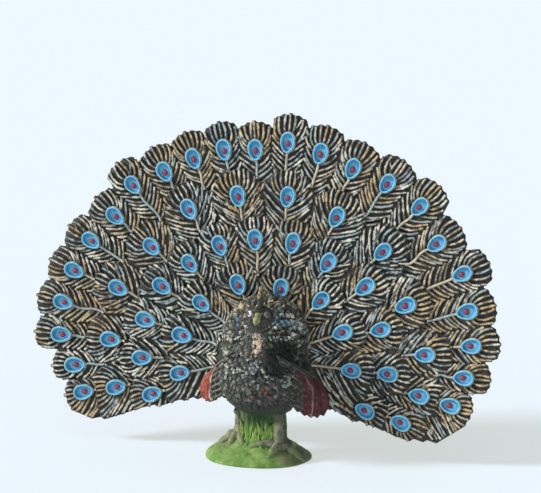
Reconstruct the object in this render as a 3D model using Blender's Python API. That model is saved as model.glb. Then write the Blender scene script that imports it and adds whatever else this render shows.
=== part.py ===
"""Peacock figurine with its tail spread, moulded in plastic and painted by hand.

Three mouldings are glued together: the grass base with the legs, the bird,
and the spread tail. Metres, +Z up, the bird looks along -Y, and the origin is
the middle of the base's underside.
"""
import math
import random
from collections import namedtuple

import bmesh
import bpy
from mathutils import Matrix, Vector
from mathutils.geometry import delaunay_2d_cdt

# Ground base
BASE_WIDTH = 0.0204        # left to right, at the underside
BASE_DEPTH = 0.0168        # front to back
BASE_EDGE = 0.0004         # upright edge round the mound
MOUND_HEIGHT = 0.0039      # where the mound meets the tuft
MOUND_DIP = 0.0006         # how much lower that is in front
MOUND_TILT = 0.0004        # the mound is higher on the left and lower on the right
TUFT_WIDTH = 0.0094        # tuft of grass that props the belly
TUFT_DEPTH = 0.0074
TUFT_SHIFT = 0.0008        # tuft and bird stand to the right of the middle
LEG_SPREAD = 0.0078        # between the two legs
LEG_FORWARD = 0.0024       # left leg's middle, in front of the base's middle
STRIDE = 0.0022            # the right leg stands this much further back
LEG_RADIUS = 0.00098
LEG_SINK = 0.0010          # how far a leg runs into the mound
TOE_LENGTH = 0.0050
TOE_RADIUS = 0.00066
RIGHT_TOES = ((-84, 0.84), (-30, 0.60), (28, 0.66))  # direction in degrees, share of TOE_LENGTH
LEFT_TOES = ((-68, 1.10), (-14, 0.78), (88, 0.98))
MOUND_WAVE = 0.012         # unevenness of the mound's outline, as a share
TUFT_WAVE = 0.045

# Bird
GAP = 0.0003               # glue line between two mouldings
BELLY_HEIGHT = 0.0098      # ground to belly
BIRD_SHIFT = 0.0010        # the bird's middle, right of the base's middle
BODY_WIDTH = 0.0150
BODY_DEPTH = 0.0126
BODY_FORWARD = 0.0030      # body's middle, in front of the base's middle
BELLY_ASIDE = 0.0007       # the belly hangs a little to the bird's left
SHOULDER_HEIGHT = 0.0205
NECK_WIDTH = 0.0048
HEAD_WIDTH = 0.0050
HEAD_LENGTH = 0.0056
HEAD_HEIGHT = 0.0284       # ground to the eyes
HEAD_ASIDE = 0.0009        # head held a little to the bird's left
CROWN = 0.0017             # eyes to the top of the head
CHIN = 0.0016              # eyes to the underside of the head
BEAK_LENGTH = 0.0021
BEAK_RADIUS = 0.00100
CREST_HEIGHT = 0.0042
CREST_WIDTH = 0.0046
CREST_THICK = 0.0006
CREST_FOOT = 0.0014
CREST_SINK = 0.0008        # how far the crest runs into the head
CREST_NICK = 0.0006        # between two crest feathers
MANTLE_WIDTH = 0.0166      # scaly back feathers that stand up behind the head
MANTLE_TOP = 0.0303
MANTLE_FOOT = 0.0085       # how far it runs down behind the shoulders
MANTLE_BULGE = 0.0046
WING_REACH = 0.0121        # bird's middle to the outer edge of a wing
WING_THICK = 0.0015
WING_TOP = 0.0215
WING_DROP = 0.0109         # shoulder to wing tip on the bird's right
WING_SAG = 0.0018          # the other wing hangs this much lower
WING_SLOPE = 0.0052        # outer edge of the wing starts this much lower
WING_TAPER = 0.0040
WING_BULGE = 0.0020
WING_KICK = 0.0010         # lower edge stands out from the body
WING_NICK = 0.0007         # between two feather tips
WING_RIDGE = 0.00022
WING_FEATHERS = 6

# Spread tail
FAN_LEAN = math.radians(10.2)
FAN_ROOT_HEIGHT = 0.01795  # where the feather shafts meet
FAN_ROOT_BACK = 0.00463    # the same point, behind the base's middle
PLATE = 0.0011             # thickness of the moulding between feathers
RIM_THICK = 0.0010
DISH = 0.0012              # how far the rim comes forward
SHINGLE = 0.0005           # step from one row down to the next
STEP_RUN = 0.00018
PAD_RADIUS = 0.0085        # flat seat for the bird
PAD_SLOPE = 0.0022
PAD_HEIGHT = 0.0014
LOBE_HALF = 0.0038         # half the width of a feather's head
NOTCH = 0.00035            # between two barb tips
ROUNDING = 0.0011          # how much a feather's head falls off to its sides
HEM_ANGLE = math.radians(111.5)  # direction of the lower corner
HEM_INSET = 0.0036         # the corner is this much nearer the root than the outer eyes
HEM_MIDDLE = 0.0077        # root down to the lower edge under the bird
HEM_RISE_LEFT = 0.0040     # corner to where the lower edge starts to rise
HEM_RISE_RIGHT = 0.0065
HEM_POWER_LEFT = 0.60      # how soon it rises
HEM_POWER_RIGHT = 0.85
HEM_FLAT = 0.0100          # from here to the middle it no longer rises
HEM_TOOTH = 0.0008
HEM_ROOM = 0.0021          # kept below the middle of an eye near the lower edge
HEM_PITCH = 0.0026
END_ANGLE = 88.0           # beyond it the outer feathers get shorter
END_SPAN = 16.0            # degrees over which they do
END_LOSS = 0.0038          # what the shaft loses there
END_TIP_LOSS = 0.0016      # what the barbs lose there
EYE_LENGTH = 0.0038
EYE_WIDTH = 0.00265
EYE_TAPER = 0.16
EYE_RIM = 0.00050          # rim above the feather
EYE_CUP = 0.00022          # middle of the cup above the feather
EYE_FOOT = 0.00024         # width of the rim's outer slope
SHAFT_HALF = 0.00030
SHAFT_RISE = 0.00038
SHAFT_SHORTEST = 0.0006    # a shorter stretch of bare shaft isn't modelled
SLIVER = 0.0001            # smallest space between two drawn edges
BACK_SHAFT_HALF = 0.0005
BACK_SHAFT_RISE = 0.0004
TAIL_REACH = 0.0165        # short stiff feathers behind the fan
TAIL_RISE = 0.0008
TAIL_NOTCH = 0.0016
TAIL_STEP = 0.0003
TAIL_SPACE = 0.0015        # from their tips to where the shafts show
TAIL_COUNT = 9
TAIL_SWEEP = 74.0

# Rows of tail feathers, from the innermost out
INNER_EYES = 0.0166        # root to the middle of the eyes
SECOND_STEP = 0.0067       # from one row's eyes to the next
THIRD_STEP = 0.0074
OUTER_STEP = 0.0094
SECOND_EYES = INNER_EYES + SECOND_STEP
THIRD_EYES = SECOND_EYES + THIRD_STEP
OUTER_EYES = THIRD_EYES + OUTER_STEP
INNER_TIP = 0.0046         # middle of the eye to the barb tips
SECOND_TIP = 0.0046
THIRD_TIP = 0.0052
OUTER_TIP = 0.0057
INNER_CLEFT = 0.0030       # depth of the gap between two feathers' heads
SECOND_CLEFT = 0.0026
THIRD_CLEFT = 0.0034
OUTER_CLEFT = 0.0017
INNER_LOOSE = 0.0006       # how much the feathers differ in reach
SECOND_LOOSE = 0.0016
THIRD_LOOSE = 0.0018
OUTER_LOOSE = 0.0013
INNER_SINK = 0.0026        # the inner row's top feathers are shorter
OUTER_SWELL = 0.0013       # the outer row's feathers half way down are longer

# One row. Angles are in degrees from straight up, seen from the front and
# counted to the right; waves bunch the feathers along the row.
Row = namedtuple("Row", "count reach tip cleft loose first last waves swell sink seed")
ROWS = (
    Row(8, INNER_EYES, INNER_TIP, INNER_CLEFT, INNER_LOOSE,
        -103.0, 94.0, (-1.3, -5.1, 0.4, 0.9), 0.0, INNER_SINK, 2560),
    Row(13, SECOND_EYES, SECOND_TIP, SECOND_CLEFT, SECOND_LOOSE,
        -110.5, 113.3, (-7.6, 0.3, 1.0, -0.2), 0.0, 0.0, 53240),
    Row(13, THIRD_EYES, THIRD_TIP, THIRD_CLEFT, THIRD_LOOSE,
        -104.1, 111.0, (5.0, -4.2, 2.5, -1.6), 0.0, 0.0, 10123),
    Row(23, OUTER_EYES, OUTER_TIP, OUTER_CLEFT, OUTER_LOOSE,
        -103.6, 100.2, (-2.6, -1.0, 0.7, -1.2), OUTER_SWELL, 0.0, 13514),
)

Feather = namedtuple("Feather", "angle reach")


def clear_scene():
    for obj in list(bpy.data.objects):
        bpy.data.objects.remove(obj, do_unlink=True)


def collection(name):
    made = bpy.data.collections.new(name)
    bpy.context.scene.collection.children.link(made)
    return made


def paint(name, colour, roughness):
    mat = bpy.data.materials.new(name)
    mat.use_nodes = True
    shader = mat.node_tree.nodes["Principled BSDF"]
    shader.inputs["Base Color"].default_value = (*colour, 1.0)
    shader.inputs["Roughness"].default_value = roughness
    shader.inputs["Metallic"].default_value = 0.0
    return mat


def add_object(name, bm, into, mat=None):
    """Turn a bmesh into an object with outward faces, shaded smooth."""
    bmesh.ops.recalc_face_normals(bm, faces=bm.faces)
    mesh = bpy.data.meshes.new(name)
    bm.to_mesh(mesh)
    bm.free()
    mesh.shade_smooth()
    mesh.set_sharp_from_angle(angle=math.radians(42))
    if mat:
        mesh.materials.append(mat)
    obj = bpy.data.objects.new(name, mesh)
    into.objects.link(obj)
    return obj


def add_cutter(name, bm):
    obj = add_object(name, bm, CUTTERS)
    obj.hide_render = True
    obj.display_type = "WIRE"
    return obj


def boolean(obj, other, operation):
    mod = obj.modifiers.new(other.name, "BOOLEAN")
    mod.operation = operation
    mod.solver = "EXACT"
    mod.object = other


def loft(rings):
    """Closed skin through rings of equally many points, with flat ends."""
    bm = bmesh.new()
    loops = [[bm.verts.new(p) for p in ring] for ring in rings]
    count = len(loops[0])
    for low, high in zip(loops, loops[1:]):
        for i in range(count):
            j = (i + 1) % count
            bm.faces.new((low[i], low[j], high[j], high[i]))
    bm.faces.new(loops[0])
    bm.faces.new(loops[-1])
    sides = [f for f in bm.faces if len(f.verts) == 4]
    bmesh.ops.triangulate(bm, faces=sides)
    return bm


def oval(centre, half_x, half_y, count, wave=0.0, lobes=5, turn=0.0):
    """Flat ring of points round a centre; wave makes its outline uneven."""
    ring = []
    for i in range(count):
        a = 2 * math.pi * i / count
        k = 1 + wave * math.sin(lobes * a + turn)
        step = Vector((half_x * k * math.cos(a), half_y * k * math.sin(a), 0))
        ring.append(centre + step)
    return ring


def tube(path, radii, sides):
    """Tapered tube along a path, for legs and toes."""
    rings = []
    for i, point in enumerate(path):
        ahead = path[min(i + 1, len(path) - 1)] - path[max(i - 1, 0)]
        turn = ahead.to_track_quat("Z", "Y").to_matrix()
        ring = []
        for k in range(sides):
            a = 2 * math.pi * k / sides
            ring.append(point + turn @ Vector((radii[i] * math.cos(a), radii[i] * math.sin(a), 0)))
        rings.append(ring)
    return loft(rings)


def lerp(a, b, t):
    return a + (b - a) * t


def mound_surface(share, angle):
    """Height of the mound at a share of the way from the rim to the tuft."""
    top = MOUND_HEIGHT - MOUND_DIP * max(0.0, -math.sin(angle)) - MOUND_TILT * math.cos(angle)
    return BASE_EDGE + (top - BASE_EDGE) * share ** 0.80


def mound_point(x, y):
    """Point on the mound's top above x, y."""
    angle = math.atan2(2 * y / BASE_DEPTH, 2 * x / BASE_WIDTH)
    rim = math.hypot(2 * x / BASE_WIDTH, 2 * y / BASE_DEPTH)
    share = min(1.0, max(0.0, (1 - rim) / (1 - TUFT_WIDTH / BASE_WIDTH)))
    return Vector((x, y, mound_surface(share, angle)))


def mound_ring(share, sides):
    """Oval between the rim and the tuft, lying on the mound's top."""
    centre = Vector((TUFT_SHIFT * share, 0, 0))
    half_x = lerp(BASE_WIDTH, TUFT_WIDTH, share) / 2
    half_y = lerp(BASE_DEPTH, TUFT_DEPTH, share) / 2
    ring = oval(centre, half_x, half_y, sides, lerp(MOUND_WAVE, TUFT_WAVE, share), 5, 2.6 * share)
    for i, point in enumerate(ring):
        point.z = mound_surface(share, 2 * math.pi * i / sides)
    return ring


def tuft_ring(share, sides):
    """Section of the tuft, from the mound up to the belly."""
    top = BELLY_HEIGHT - GAP
    grow = 1 - 0.09 * math.sin(math.pi * share)
    centre = Vector((TUFT_SHIFT, 0, 0))
    ring = oval(centre, TUFT_WIDTH / 2 * grow, TUFT_DEPTH / 2 * grow, sides, TUFT_WAVE, 7, 2.6)
    for i, point in enumerate(ring):
        point.z = lerp(mound_surface(1.0, 2 * math.pi * i / sides), top, share)
    return ring


def toe(foot, aim, reach):
    """Tapered toe that arches from the foot and settles on the mound."""
    points = []
    for t in (0.0, 0.3, 0.65, 1.0):
        x = foot.x + math.sin(aim) * reach * t
        y = foot.y - math.cos(aim) * reach * t
        arch = TOE_RADIUS * (0.4 + 0.9 * math.sin(math.pi * t * 0.8)) * (1 - 0.8 * t)
        points.append(mound_point(x, y) + Vector((0, 0, arch)))
    points[0].z = foot.z
    return tube(points, [TOE_RADIUS * k for k in (1.3, 1.1, 0.95, 0.5)], 6)


def build_base(into, mat):
    """Oval mound, tuft of grass, two legs and their toes in one moulding."""
    sides = 28
    rings = [oval(Vector((0, 0, 0)), BASE_WIDTH / 2, BASE_DEPTH / 2, sides, MOUND_WAVE, 5)]
    rings += [mound_ring(k / 6, sides) for k in range(7)]
    rings += [tuft_ring(k / 3, sides) for k in range(1, 4)]
    base = add_object("grass_base", loft(rings), into, mat)

    hip_height = BELLY_HEIGHT - GAP - SLIVER
    feet = ((-1, "right", LEG_FORWARD - STRIDE, RIGHT_TOES), (1, "left", LEG_FORWARD, LEFT_TOES))
    for side, name, forward, toes in feet:
        x = TUFT_SHIFT + side * LEG_SPREAD / 2
        foot = mound_point(x, -forward)
        hip = Vector((x * 0.96, -forward * 0.88, hip_height))
        path = [lerp(hip, foot, t) for t in (0.0, 0.3, 0.65, 0.95)]
        path.append(foot - Vector((0, 0, LEG_SINK)))
        leg = add_cutter(name + "_leg", tube(path, [LEG_RADIUS * g for g in (1.2, 0.92, 0.86, 1.1, 1.2)], 8))
        boolean(base, leg, "UNION")
        for k, (aim, share) in enumerate(toes):
            shape = toe(foot, math.radians(aim), TOE_LENGTH * share)
            boolean(base, add_cutter(f"{name}_toe_{k + 1}", shape), "UNION")
    return base


def body_rings():
    """Horizontal sections of belly, breast, neck and head, from below up."""
    head_low = HEAD_HEIGHT - CHIN
    head_top = HEAD_HEIGHT + CROWN
    half = BODY_WIDTH / 2
    deep = BODY_DEPTH / 2
    neck = NECK_WIDTH / 2
    skull = HEAD_WIDTH / 2
    long = HEAD_LENGTH / 2
    rise = SHOULDER_HEIGHT - BELLY_HEIGHT
    span = head_low - SHOULDER_HEIGHT
    turn = BIRD_SHIFT + HEAD_ASIDE
    stations = (
        # height, forward, half width, half depth
        (BELLY_HEIGHT, 0.72, half * 0.66, deep * 0.54),
        (BELLY_HEIGHT + rise * 0.08, 0.82, half * 0.76, deep * 0.72),
        (BELLY_HEIGHT + rise * 0.24, 0.95, half * 0.88, deep * 0.90),
        (BELLY_HEIGHT + rise * 0.45, 1.02, half, deep),
        (BELLY_HEIGHT + rise * 0.68, 1.06, half * 0.99, deep * 1.01),
        (BELLY_HEIGHT + rise * 0.87, 1.08, half * 0.91, deep * 0.95),
        (SHOULDER_HEIGHT, 1.10, half * 0.78, deep * 0.83),
        (SHOULDER_HEIGHT + span * 0.28, 1.26, half * 0.56, deep * 0.64),
        (SHOULDER_HEIGHT + span * 0.52, 1.45, neck * 1.30, deep * 0.48),
        (SHOULDER_HEIGHT + span * 0.76, 1.55, neck * 1.02, neck * 1.15),
        (head_low, 1.56, skull * 0.94, long * 0.90),
        (lerp(head_low, head_top, 0.45), 1.58, skull, long),
        (lerp(head_low, head_top, 0.80), 1.53, skull * 0.80, long * 0.80),
        (head_top, 1.48, skull * 0.36, long * 0.40),
    )
    rings = []
    for z, forward, half_x, half_y in stations:
        up = min(1.0, max(0.0, (z - SHOULDER_HEIGHT) / span))
        low = max(0.0, 1 - (z - BELLY_HEIGHT) / rise)
        x = lerp(BIRD_SHIFT, turn, up) + BELLY_ASIDE * low
        middle = Vector((x, -BODY_FORWARD * forward, z))
        rings.append(oval(middle, half_x, half_y, 20))
    return rings


def mantle():
    """Upright shield of small back feathers, a flattened dome behind the head."""
    low = SHOULDER_HEIGHT - MANTLE_FOOT
    centre_z = (low + MANTLE_TOP) / 2
    centre_y = fan_front_y(centre_z)
    bm = bmesh.new()
    bmesh.ops.create_uvsphere(bm, u_segments=24, v_segments=12, radius=1.0)
    bmesh.ops.rotate(bm, verts=bm.verts, matrix=Matrix.Rotation(math.pi / 2, 3, "X"))
    size = Vector((MANTLE_WIDTH / 2, MANTLE_BULGE, (MANTLE_TOP - low) / 2))
    bmesh.ops.scale(bm, verts=bm.verts, vec=size)
    lean = Matrix.Rotation(-FAN_LEAN, 3, "X")
    bmesh.ops.rotate(bm, verts=bm.verts, matrix=lean)
    bmesh.ops.translate(bm, verts=bm.verts, vec=(BIRD_SHIFT * 0.6, centre_y, centre_z))
    return bm


def wing(side, drop):
    """Drooping wing: a curved panel whose feathers end in a stepped lower edge."""
    columns = WING_FEATHERS * 2 + 1
    rows = 7
    outer, inner = [], []
    for r in range(rows):
        t = r / (rows - 1)
        for c in range(columns):
            s = c / (columns - 1)
            feather = c / 2
            tooth = 0.0 if c % 2 else WING_NICK
            length = drop * (0.62 + 0.40 * math.sin(math.pi * (0.08 + 0.55 * s)) - 0.10 * s)
            z = WING_TOP - WING_SLOPE * s - (length - tooth - WING_TAPER * s) * t
            out = lerp(BODY_WIDTH * 0.36, WING_REACH, s ** 0.8)
            out *= 0.60 + 0.40 * math.sin(math.pi * (0.16 + 0.42 * t))
            out += WING_BULGE * s * t * (1 - t)
            rear = fan_front_y(z) - WING_THICK * 0.9
            y = lerp(-BODY_FORWARD * 2.1, rear, s ** 1.15) + WING_KICK * t
            ridge = WING_RIDGE * math.cos(2 * math.pi * feather) * min(1.0, 2 * t)
            normal = Vector((side * (0.35 + 0.40 * s), -0.85 + 0.1 * s, 0.0)).normalized()
            point = Vector((BIRD_SHIFT + side * out, y, z))
            thick = WING_THICK * (1.0 - 0.45 * t)
            outer.append(point + normal * (thick / 2 + ridge))
            inner.append(point - normal * thick / 2)
    bm = bmesh.new()
    front = [bm.verts.new(p) for p in outer]
    back = [bm.verts.new(p) for p in inner]

    def at(row, column):
        return row * columns + column

    for r in range(rows - 1):
        for c in range(columns - 1):
            quad = (at(r, c), at(r, c + 1), at(r + 1, c + 1), at(r + 1, c))
            bm.faces.new([front[i] for i in quad])
            bm.faces.new([back[i] for i in reversed(quad)])
    border = [at(0, c) for c in range(columns)]
    border += [at(r, columns - 1) for r in range(1, rows)]
    border += [at(rows - 1, c) for c in range(columns - 2, -1, -1)]
    border += [at(r, 0) for r in range(rows - 2, 0, -1)]
    for i, j in zip(border, border[1:] + border[:1]):
        bm.faces.new((front[j], front[i], back[i], back[j]))
    return bm


def crest():
    """Thin upright fan of crest feathers, its flat sides facing left and right."""
    head_top = HEAD_HEIGHT + CROWN
    foot = Vector((BIRD_SHIFT + HEAD_ASIDE, -BODY_FORWARD * 1.45, head_top - CREST_SINK))
    rays = 6
    profile = [foot + Vector((0, side * CREST_FOOT / 2, 0)) for side in (-1, 1)]
    for k in range(2 * rays + 1):
        a = math.radians(lerp(46, -46, k / (2 * rays)))
        long = CREST_HEIGHT + CREST_SINK - (CREST_NICK if k % 2 else 0.0)
        profile.append(foot + Vector((0, math.sin(a) * CREST_WIDTH * 0.70, math.cos(a) * long)))
    bm = bmesh.new()
    shift = Vector((CREST_THICK / 2, 0, 0))
    left = [bm.verts.new(p - shift) for p in profile]
    right = [bm.verts.new(p + shift) for p in profile]
    bm.faces.new(left)
    bm.faces.new(list(reversed(right)))
    for i in range(len(profile)):
        j = (i + 1) % len(profile)
        bm.faces.new((left[j], left[i], right[i], right[j]))
    return bm


def beak():
    """Short beak, pointing forward and a little down."""
    face = -BODY_FORWARD * 1.56 - HEAD_LENGTH * 0.36
    start = Vector((BIRD_SHIFT + HEAD_ASIDE, face, HEAD_HEIGHT - BEAK_RADIUS * 0.16))
    aim = Vector((0, -1, -0.42)).normalized()
    reach = BEAK_LENGTH + HEAD_LENGTH * 0.14
    path = [start, start + aim * reach * 0.45, start + aim * reach * 0.8, start + aim * reach]
    path[3] += Vector((0, BEAK_RADIUS * 0.08, -BEAK_RADIUS * 0.24))
    return tube(path, [BEAK_RADIUS * k for k in (1.0, 0.76, 0.46, 0.16)], 8)


def fan_front_y(z):
    """Where the bird's flat back meets the tail's seat at height z, glue line included."""
    forward = (PAD_HEIGHT + GAP) / math.cos(FAN_LEAN)
    return FAN_ROOT_BACK + (z - FAN_ROOT_HEIGHT) * math.tan(FAN_LEAN) - forward


def build_bird(into, mat):
    """Body, neck, head, mantle, wings, crest and beak in one moulding."""
    bird = add_object("peacock_bird", loft(body_rings()), into, mat)
    boolean(bird, add_cutter("mantle", mantle()), "UNION")
    boolean(bird, add_cutter("right_wing", wing(-1, WING_DROP)), "UNION")
    boolean(bird, add_cutter("left_wing", wing(1, WING_DROP + WING_SAG)), "UNION")
    boolean(bird, add_cutter("crest", crest()), "UNION")
    boolean(bird, add_cutter("beak", beak()), "UNION")

    size = 0.12
    bm = bmesh.new()
    bmesh.ops.create_cube(bm, size=size)
    bmesh.ops.translate(bm, verts=bm.verts, vec=(0, size / 2 - PAD_HEIGHT - GAP, 0))
    rear = add_cutter("rear_plane", bm)
    rear.location = (0, FAN_ROOT_BACK, FAN_ROOT_HEIGHT)
    rear.rotation_euler.x = -FAN_LEAN
    boolean(bird, rear, "DIFFERENCE")
    return bird


def past_end(angle):
    """Share of the way from the last full-length outer feather to the end."""
    return max(0.0, abs(math.degrees(angle)) - END_ANGLE) / END_SPAN


def row_feathers(row):
    """Angle in radians and reach of every feather in a row, left to right."""
    rng = random.Random(row.seed)
    feathers = []
    for i in range(row.count):
        t = i / (row.count - 1)
        angle = lerp(row.first, row.last, t)
        for k, wave in enumerate(row.waves):
            angle += wave * math.sin((k + 1) * math.pi * t)
        a = math.radians(angle)
        reach = row.reach + row.swell * math.sin(2 * abs(a)) - row.sink * math.cos(a) ** 2
        if row is ROWS[-1]:
            reach -= END_LOSS * past_end(a)
        reach += rng.uniform(-row.loose, row.loose)
        feathers.append(Feather(a, reach))
    return feathers


def head_half_angles(row, feathers, i):
    """Half angles of a feather's head, to its left and to its right."""
    radius = feathers[i].reach + row.tip * 0.7
    free = LOBE_HALF / radius
    left = (feathers[i].angle - feathers[i - 1].angle) / 2 if i else free
    right = (feathers[i + 1].angle - feathers[i].angle) / 2 if i + 1 < len(feathers) else free
    return min(left, free), min(right, free)


def feather_top(row, feather):
    """Distance from the root to the tips of a feather's longest barbs."""
    short = END_TIP_LOSS * past_end(feather.angle) if row is ROWS[-1] else 0.0
    return feather.reach + row.tip - short


def row_edge(row, feathers):
    """Edge of a row as (angle, radius), barb tips and clefts from left to right."""
    edge = []
    for i, feather in enumerate(feathers):
        left, right = head_half_angles(row, feathers, i)
        top = feather_top(row, feather)
        for k in range(-4, 5):
            f = k / 5
            angle = feather.angle + f * (left if f < 0 else right)
            radius = top - ROUNDING * f * f - (NOTCH if k % 2 else 0.0)
            edge.append((angle, radius))
        if i + 1 < len(feathers):
            middle = (feather.angle + feathers[i + 1].angle) / 2
            low = min(top, feather_top(row, feathers[i + 1]))
            edge.append((middle, low - row.cleft))
    return edge


def polar(angle, radius):
    return Vector((radius * math.sin(angle), radius * math.cos(angle)))


def edge_radius(edge, angle):
    """Radius of a row's edge at an angle; past its ends it keeps the end's radius."""
    if angle <= edge[0][0]:
        return edge[0][1]
    for (a0, r0), (a1, r1) in zip(edge, edge[1:]):
        if angle <= a1:
            return lerp(r0, r1, (angle - a0) / (a1 - a0))
    return edge[-1][1]


def eye_ring(feather, grow, count=8):
    """Egg-shaped ring round a feather's eye, broad end outward."""
    out = polar(feather.angle, 1.0)
    across = Vector((out.y, -out.x))
    middle = polar(feather.angle, feather.reach)
    ring = []
    for k in range(count):
        a = 2 * math.pi * (k + 0.5) / count
        narrow = 1 + EYE_TAPER * math.cos(a)
        along = (EYE_LENGTH / 2 + grow) * math.cos(a)
        aside = (EYE_WIDTH / 2 + grow) * math.sin(a) * narrow
        ring.append(middle + out * along + across * aside)
    return ring


def keep_off_eyes(edge, feathers):
    """Draw barb tips back where they would cover an eye of the next row out."""
    room = EYE_FOOT + STEP_RUN + 2 * SLIVER
    cleared = []
    for angle, radius in edge:
        for feather in feathers:
            out = polar(feather.angle, 1.0)
            across = Vector((out.y, -out.x))
            away = polar(angle, radius) - polar(feather.angle, feather.reach)
            aside = abs(away.dot(across))
            if aside < EYE_WIDTH / 2 + room and abs(angle - feather.angle) < 0.5:
                radius = min(radius, feather.reach - EYE_LENGTH / 2 - room)
        cleared.append((angle, radius))
    return cleared


def fan_layout():
    """Feathers and edge of each row, from the innermost row out."""
    rows = [row_feathers(row) for row in ROWS]
    edges = [row_edge(row, feathers) for row, feathers in zip(ROWS, rows)]
    for k in range(len(edges) - 1):
        edges[k] = keep_off_eyes(edges[k], rows[k + 1])
    return rows, edges


def dish(radius):
    """The plate comes forward towards the rim like a shallow saucer."""
    return DISH * (radius / (ROWS[-1].reach + ROWS[-1].tip)) ** 2 - DISH / 2


def front_height(point, edges):
    """How far the plate's front stands forward of the fan's own plane."""
    radius = point.length
    angle = math.atan2(point.x, point.y)
    inside = PAD_RADIUS + PAD_SLOPE
    for edge in edges:
        outside = edge_radius(edge, angle)
        if radius <= outside + STEP_RUN / 2:
            share = (radius - inside) / max(outside - inside, 1e-6)
            return dish(radius) + SHINGLE * min(1.0, max(0.0, share))
        inside = outside
    return dish(radius) + SHINGLE


def hem(side, rows):
    """Toothed lower edge from the corner to the middle, root at the origin."""
    corner = polar(HEM_ANGLE, OUTER_EYES - HEM_INSET)
    rise, power = (HEM_RISE_LEFT, HEM_POWER_LEFT) if side < 0 else (HEM_RISE_RIGHT, HEM_POWER_RIGHT)
    start = corner.x - rise
    teeth = int(round(corner.x / HEM_PITCH))
    eyes = [polar(f.angle, f.reach) for feathers in rows[:-1] for f in feathers]
    points = []
    for k in range(2 * teeth):
        x = corner.x * (1 - k / (2 * teeth))
        t = min(1.0, max(0.0, (start - x) / (start - HEM_FLAT)))
        low = lerp(corner.y, -HEM_MIDDLE, t ** power)
        for eye in eyes:
            aside = (side * x - eye.x) / LOBE_HALF
            if abs(aside) < 1:
                low = min(low, eye.y - HEM_ROOM * math.sqrt(1 - aside * aside))
        points.append(Vector((side * x, low + HEM_TOOTH * (0.3 if k % 2 else -0.7))))
    return points


def fan_outline(rows, edges):
    """Outline of the plate, clockwise from the left corner as seen from the front."""
    loop = list(reversed(hem(-1, rows)))
    loop += [polar(angle, radius) for angle, radius in edges[-1]]
    loop += hem(1, rows)
    loop.append(Vector((0, -HEM_MIDDLE)))
    return loop


class Sheet:
    """Points and edges of a flat drawing that becomes a raised surface."""

    def __init__(self):
        self.points = []
        self.heights = []
        self.edges = []

    def add(self, point, height):
        self.points.append(point)
        self.heights.append(height)
        return len(self.points) - 1

    def chain(self, points, heights, closed=False):
        index = [self.add(p, h) for p, h in zip(points, heights)]
        self.edges += list(zip(index, index[1:]))
        if closed:
            self.edges.append((index[-1], index[0]))
        return index

    def triangles(self):
        """Triangulate inside the outline; every point keeps its own number."""
        made = delaunay_2d_cdt(self.points, self.edges, [list(range(self.border))], 1, 1e-7)
        verts, _, faces, origin = made[0], made[1], made[2], made[3]
        number = []
        for place, sources in zip(verts, origin):
            if sources:
                number.append(sources[0])
            else:
                near = min(range(len(self.points)), key=lambda i: (self.points[i] - place).length)
                number.append(self.add(place, self.heights[near]))
        return [[number[i] for i in face] for face in faces]


def front_sheet(rows, edges, outline):
    """Front of the fan: rows lapped like shingles, eyes with cups, shafts."""
    sheet = Sheet()
    sheet.chain(outline, [front_height(p, edges) for p in outline], closed=True)
    sheet.border = len(outline)

    seat = [polar(2 * math.pi * k / 20, PAD_RADIUS) for k in range(20)]
    foot = [polar(2 * math.pi * (k + 0.5) / 20, PAD_RADIUS + PAD_SLOPE) for k in range(20)]
    room = HEM_MIDDLE - HEM_TOOTH
    seat = [p if p.y > -room else Vector((p.x, -room)) for p in seat]
    sheet.chain(seat, [PAD_HEIGHT] * len(seat), closed=True)
    for p in foot:
        if p.y > -room:
            sheet.add(p, dish(p.length))
    sheet.add(Vector((0, 0)), PAD_HEIGHT)

    for edge in edges[:-1]:
        run = []
        for angle, radius in edge:
            if inside_outline(polar(angle, radius + STEP_RUN), outline):
                run.append((angle, radius))
        tips = [polar(a, r) for a, r in run]
        feet = [polar(a, r + STEP_RUN) for a, r in run]
        sheet.chain(tips, [dish(p.length) + SHINGLE for p in tips])
        sheet.chain(feet, [dish(p.length) for p in feet])

    for number, feathers in enumerate(rows):
        for feather in feathers:
            for grow, rise in ((EYE_FOOT, 0.0), (0.0, EYE_RIM)):
                ring = eye_ring(feather, grow)
                heights = [front_height(p, edges) + rise for p in ring]
                sheet.chain(ring, heights, closed=True)
            middle = polar(feather.angle, feather.reach)
            sheet.add(middle, front_height(middle, edges) + EYE_CUP)
            start = PAD_RADIUS + PAD_SLOPE + 3 * SLIVER
            if number:
                start = edge_radius(edges[number - 1], feather.angle) + STEP_RUN + SLIVER
            end = feather.reach - EYE_LENGTH / 2 - EYE_FOOT - SLIVER
            if end - start < SHAFT_SHORTEST:
                continue
            across = Vector((math.cos(feather.angle), -math.sin(feather.angle)))
            for shift, rise in ((-SHAFT_HALF, 0.0), (0.0, SHAFT_RISE), (SHAFT_HALF, 0.0)):
                run = [polar(feather.angle, r) + across * shift for r in (start, end)]
                sheet.chain(run, [front_height(p, edges) + rise for p in run])
    return sheet


def inside_outline(point, outline):
    """True where a point lies inside the fan, clear of its edge."""
    inside = False
    for a, b in zip(outline, outline[1:] + outline[:1]):
        if (a.y > point.y) != (b.y > point.y):
            if point.x < a.x + (b.x - a.x) * (point.y - a.y) / (b.y - a.y):
                inside = not inside
    if not inside:
        return False
    return min((point - p).length for p in outline) > HEM_TOOTH * 0.9


def back_height(point):
    return dish(point.length) - PLATE


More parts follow.
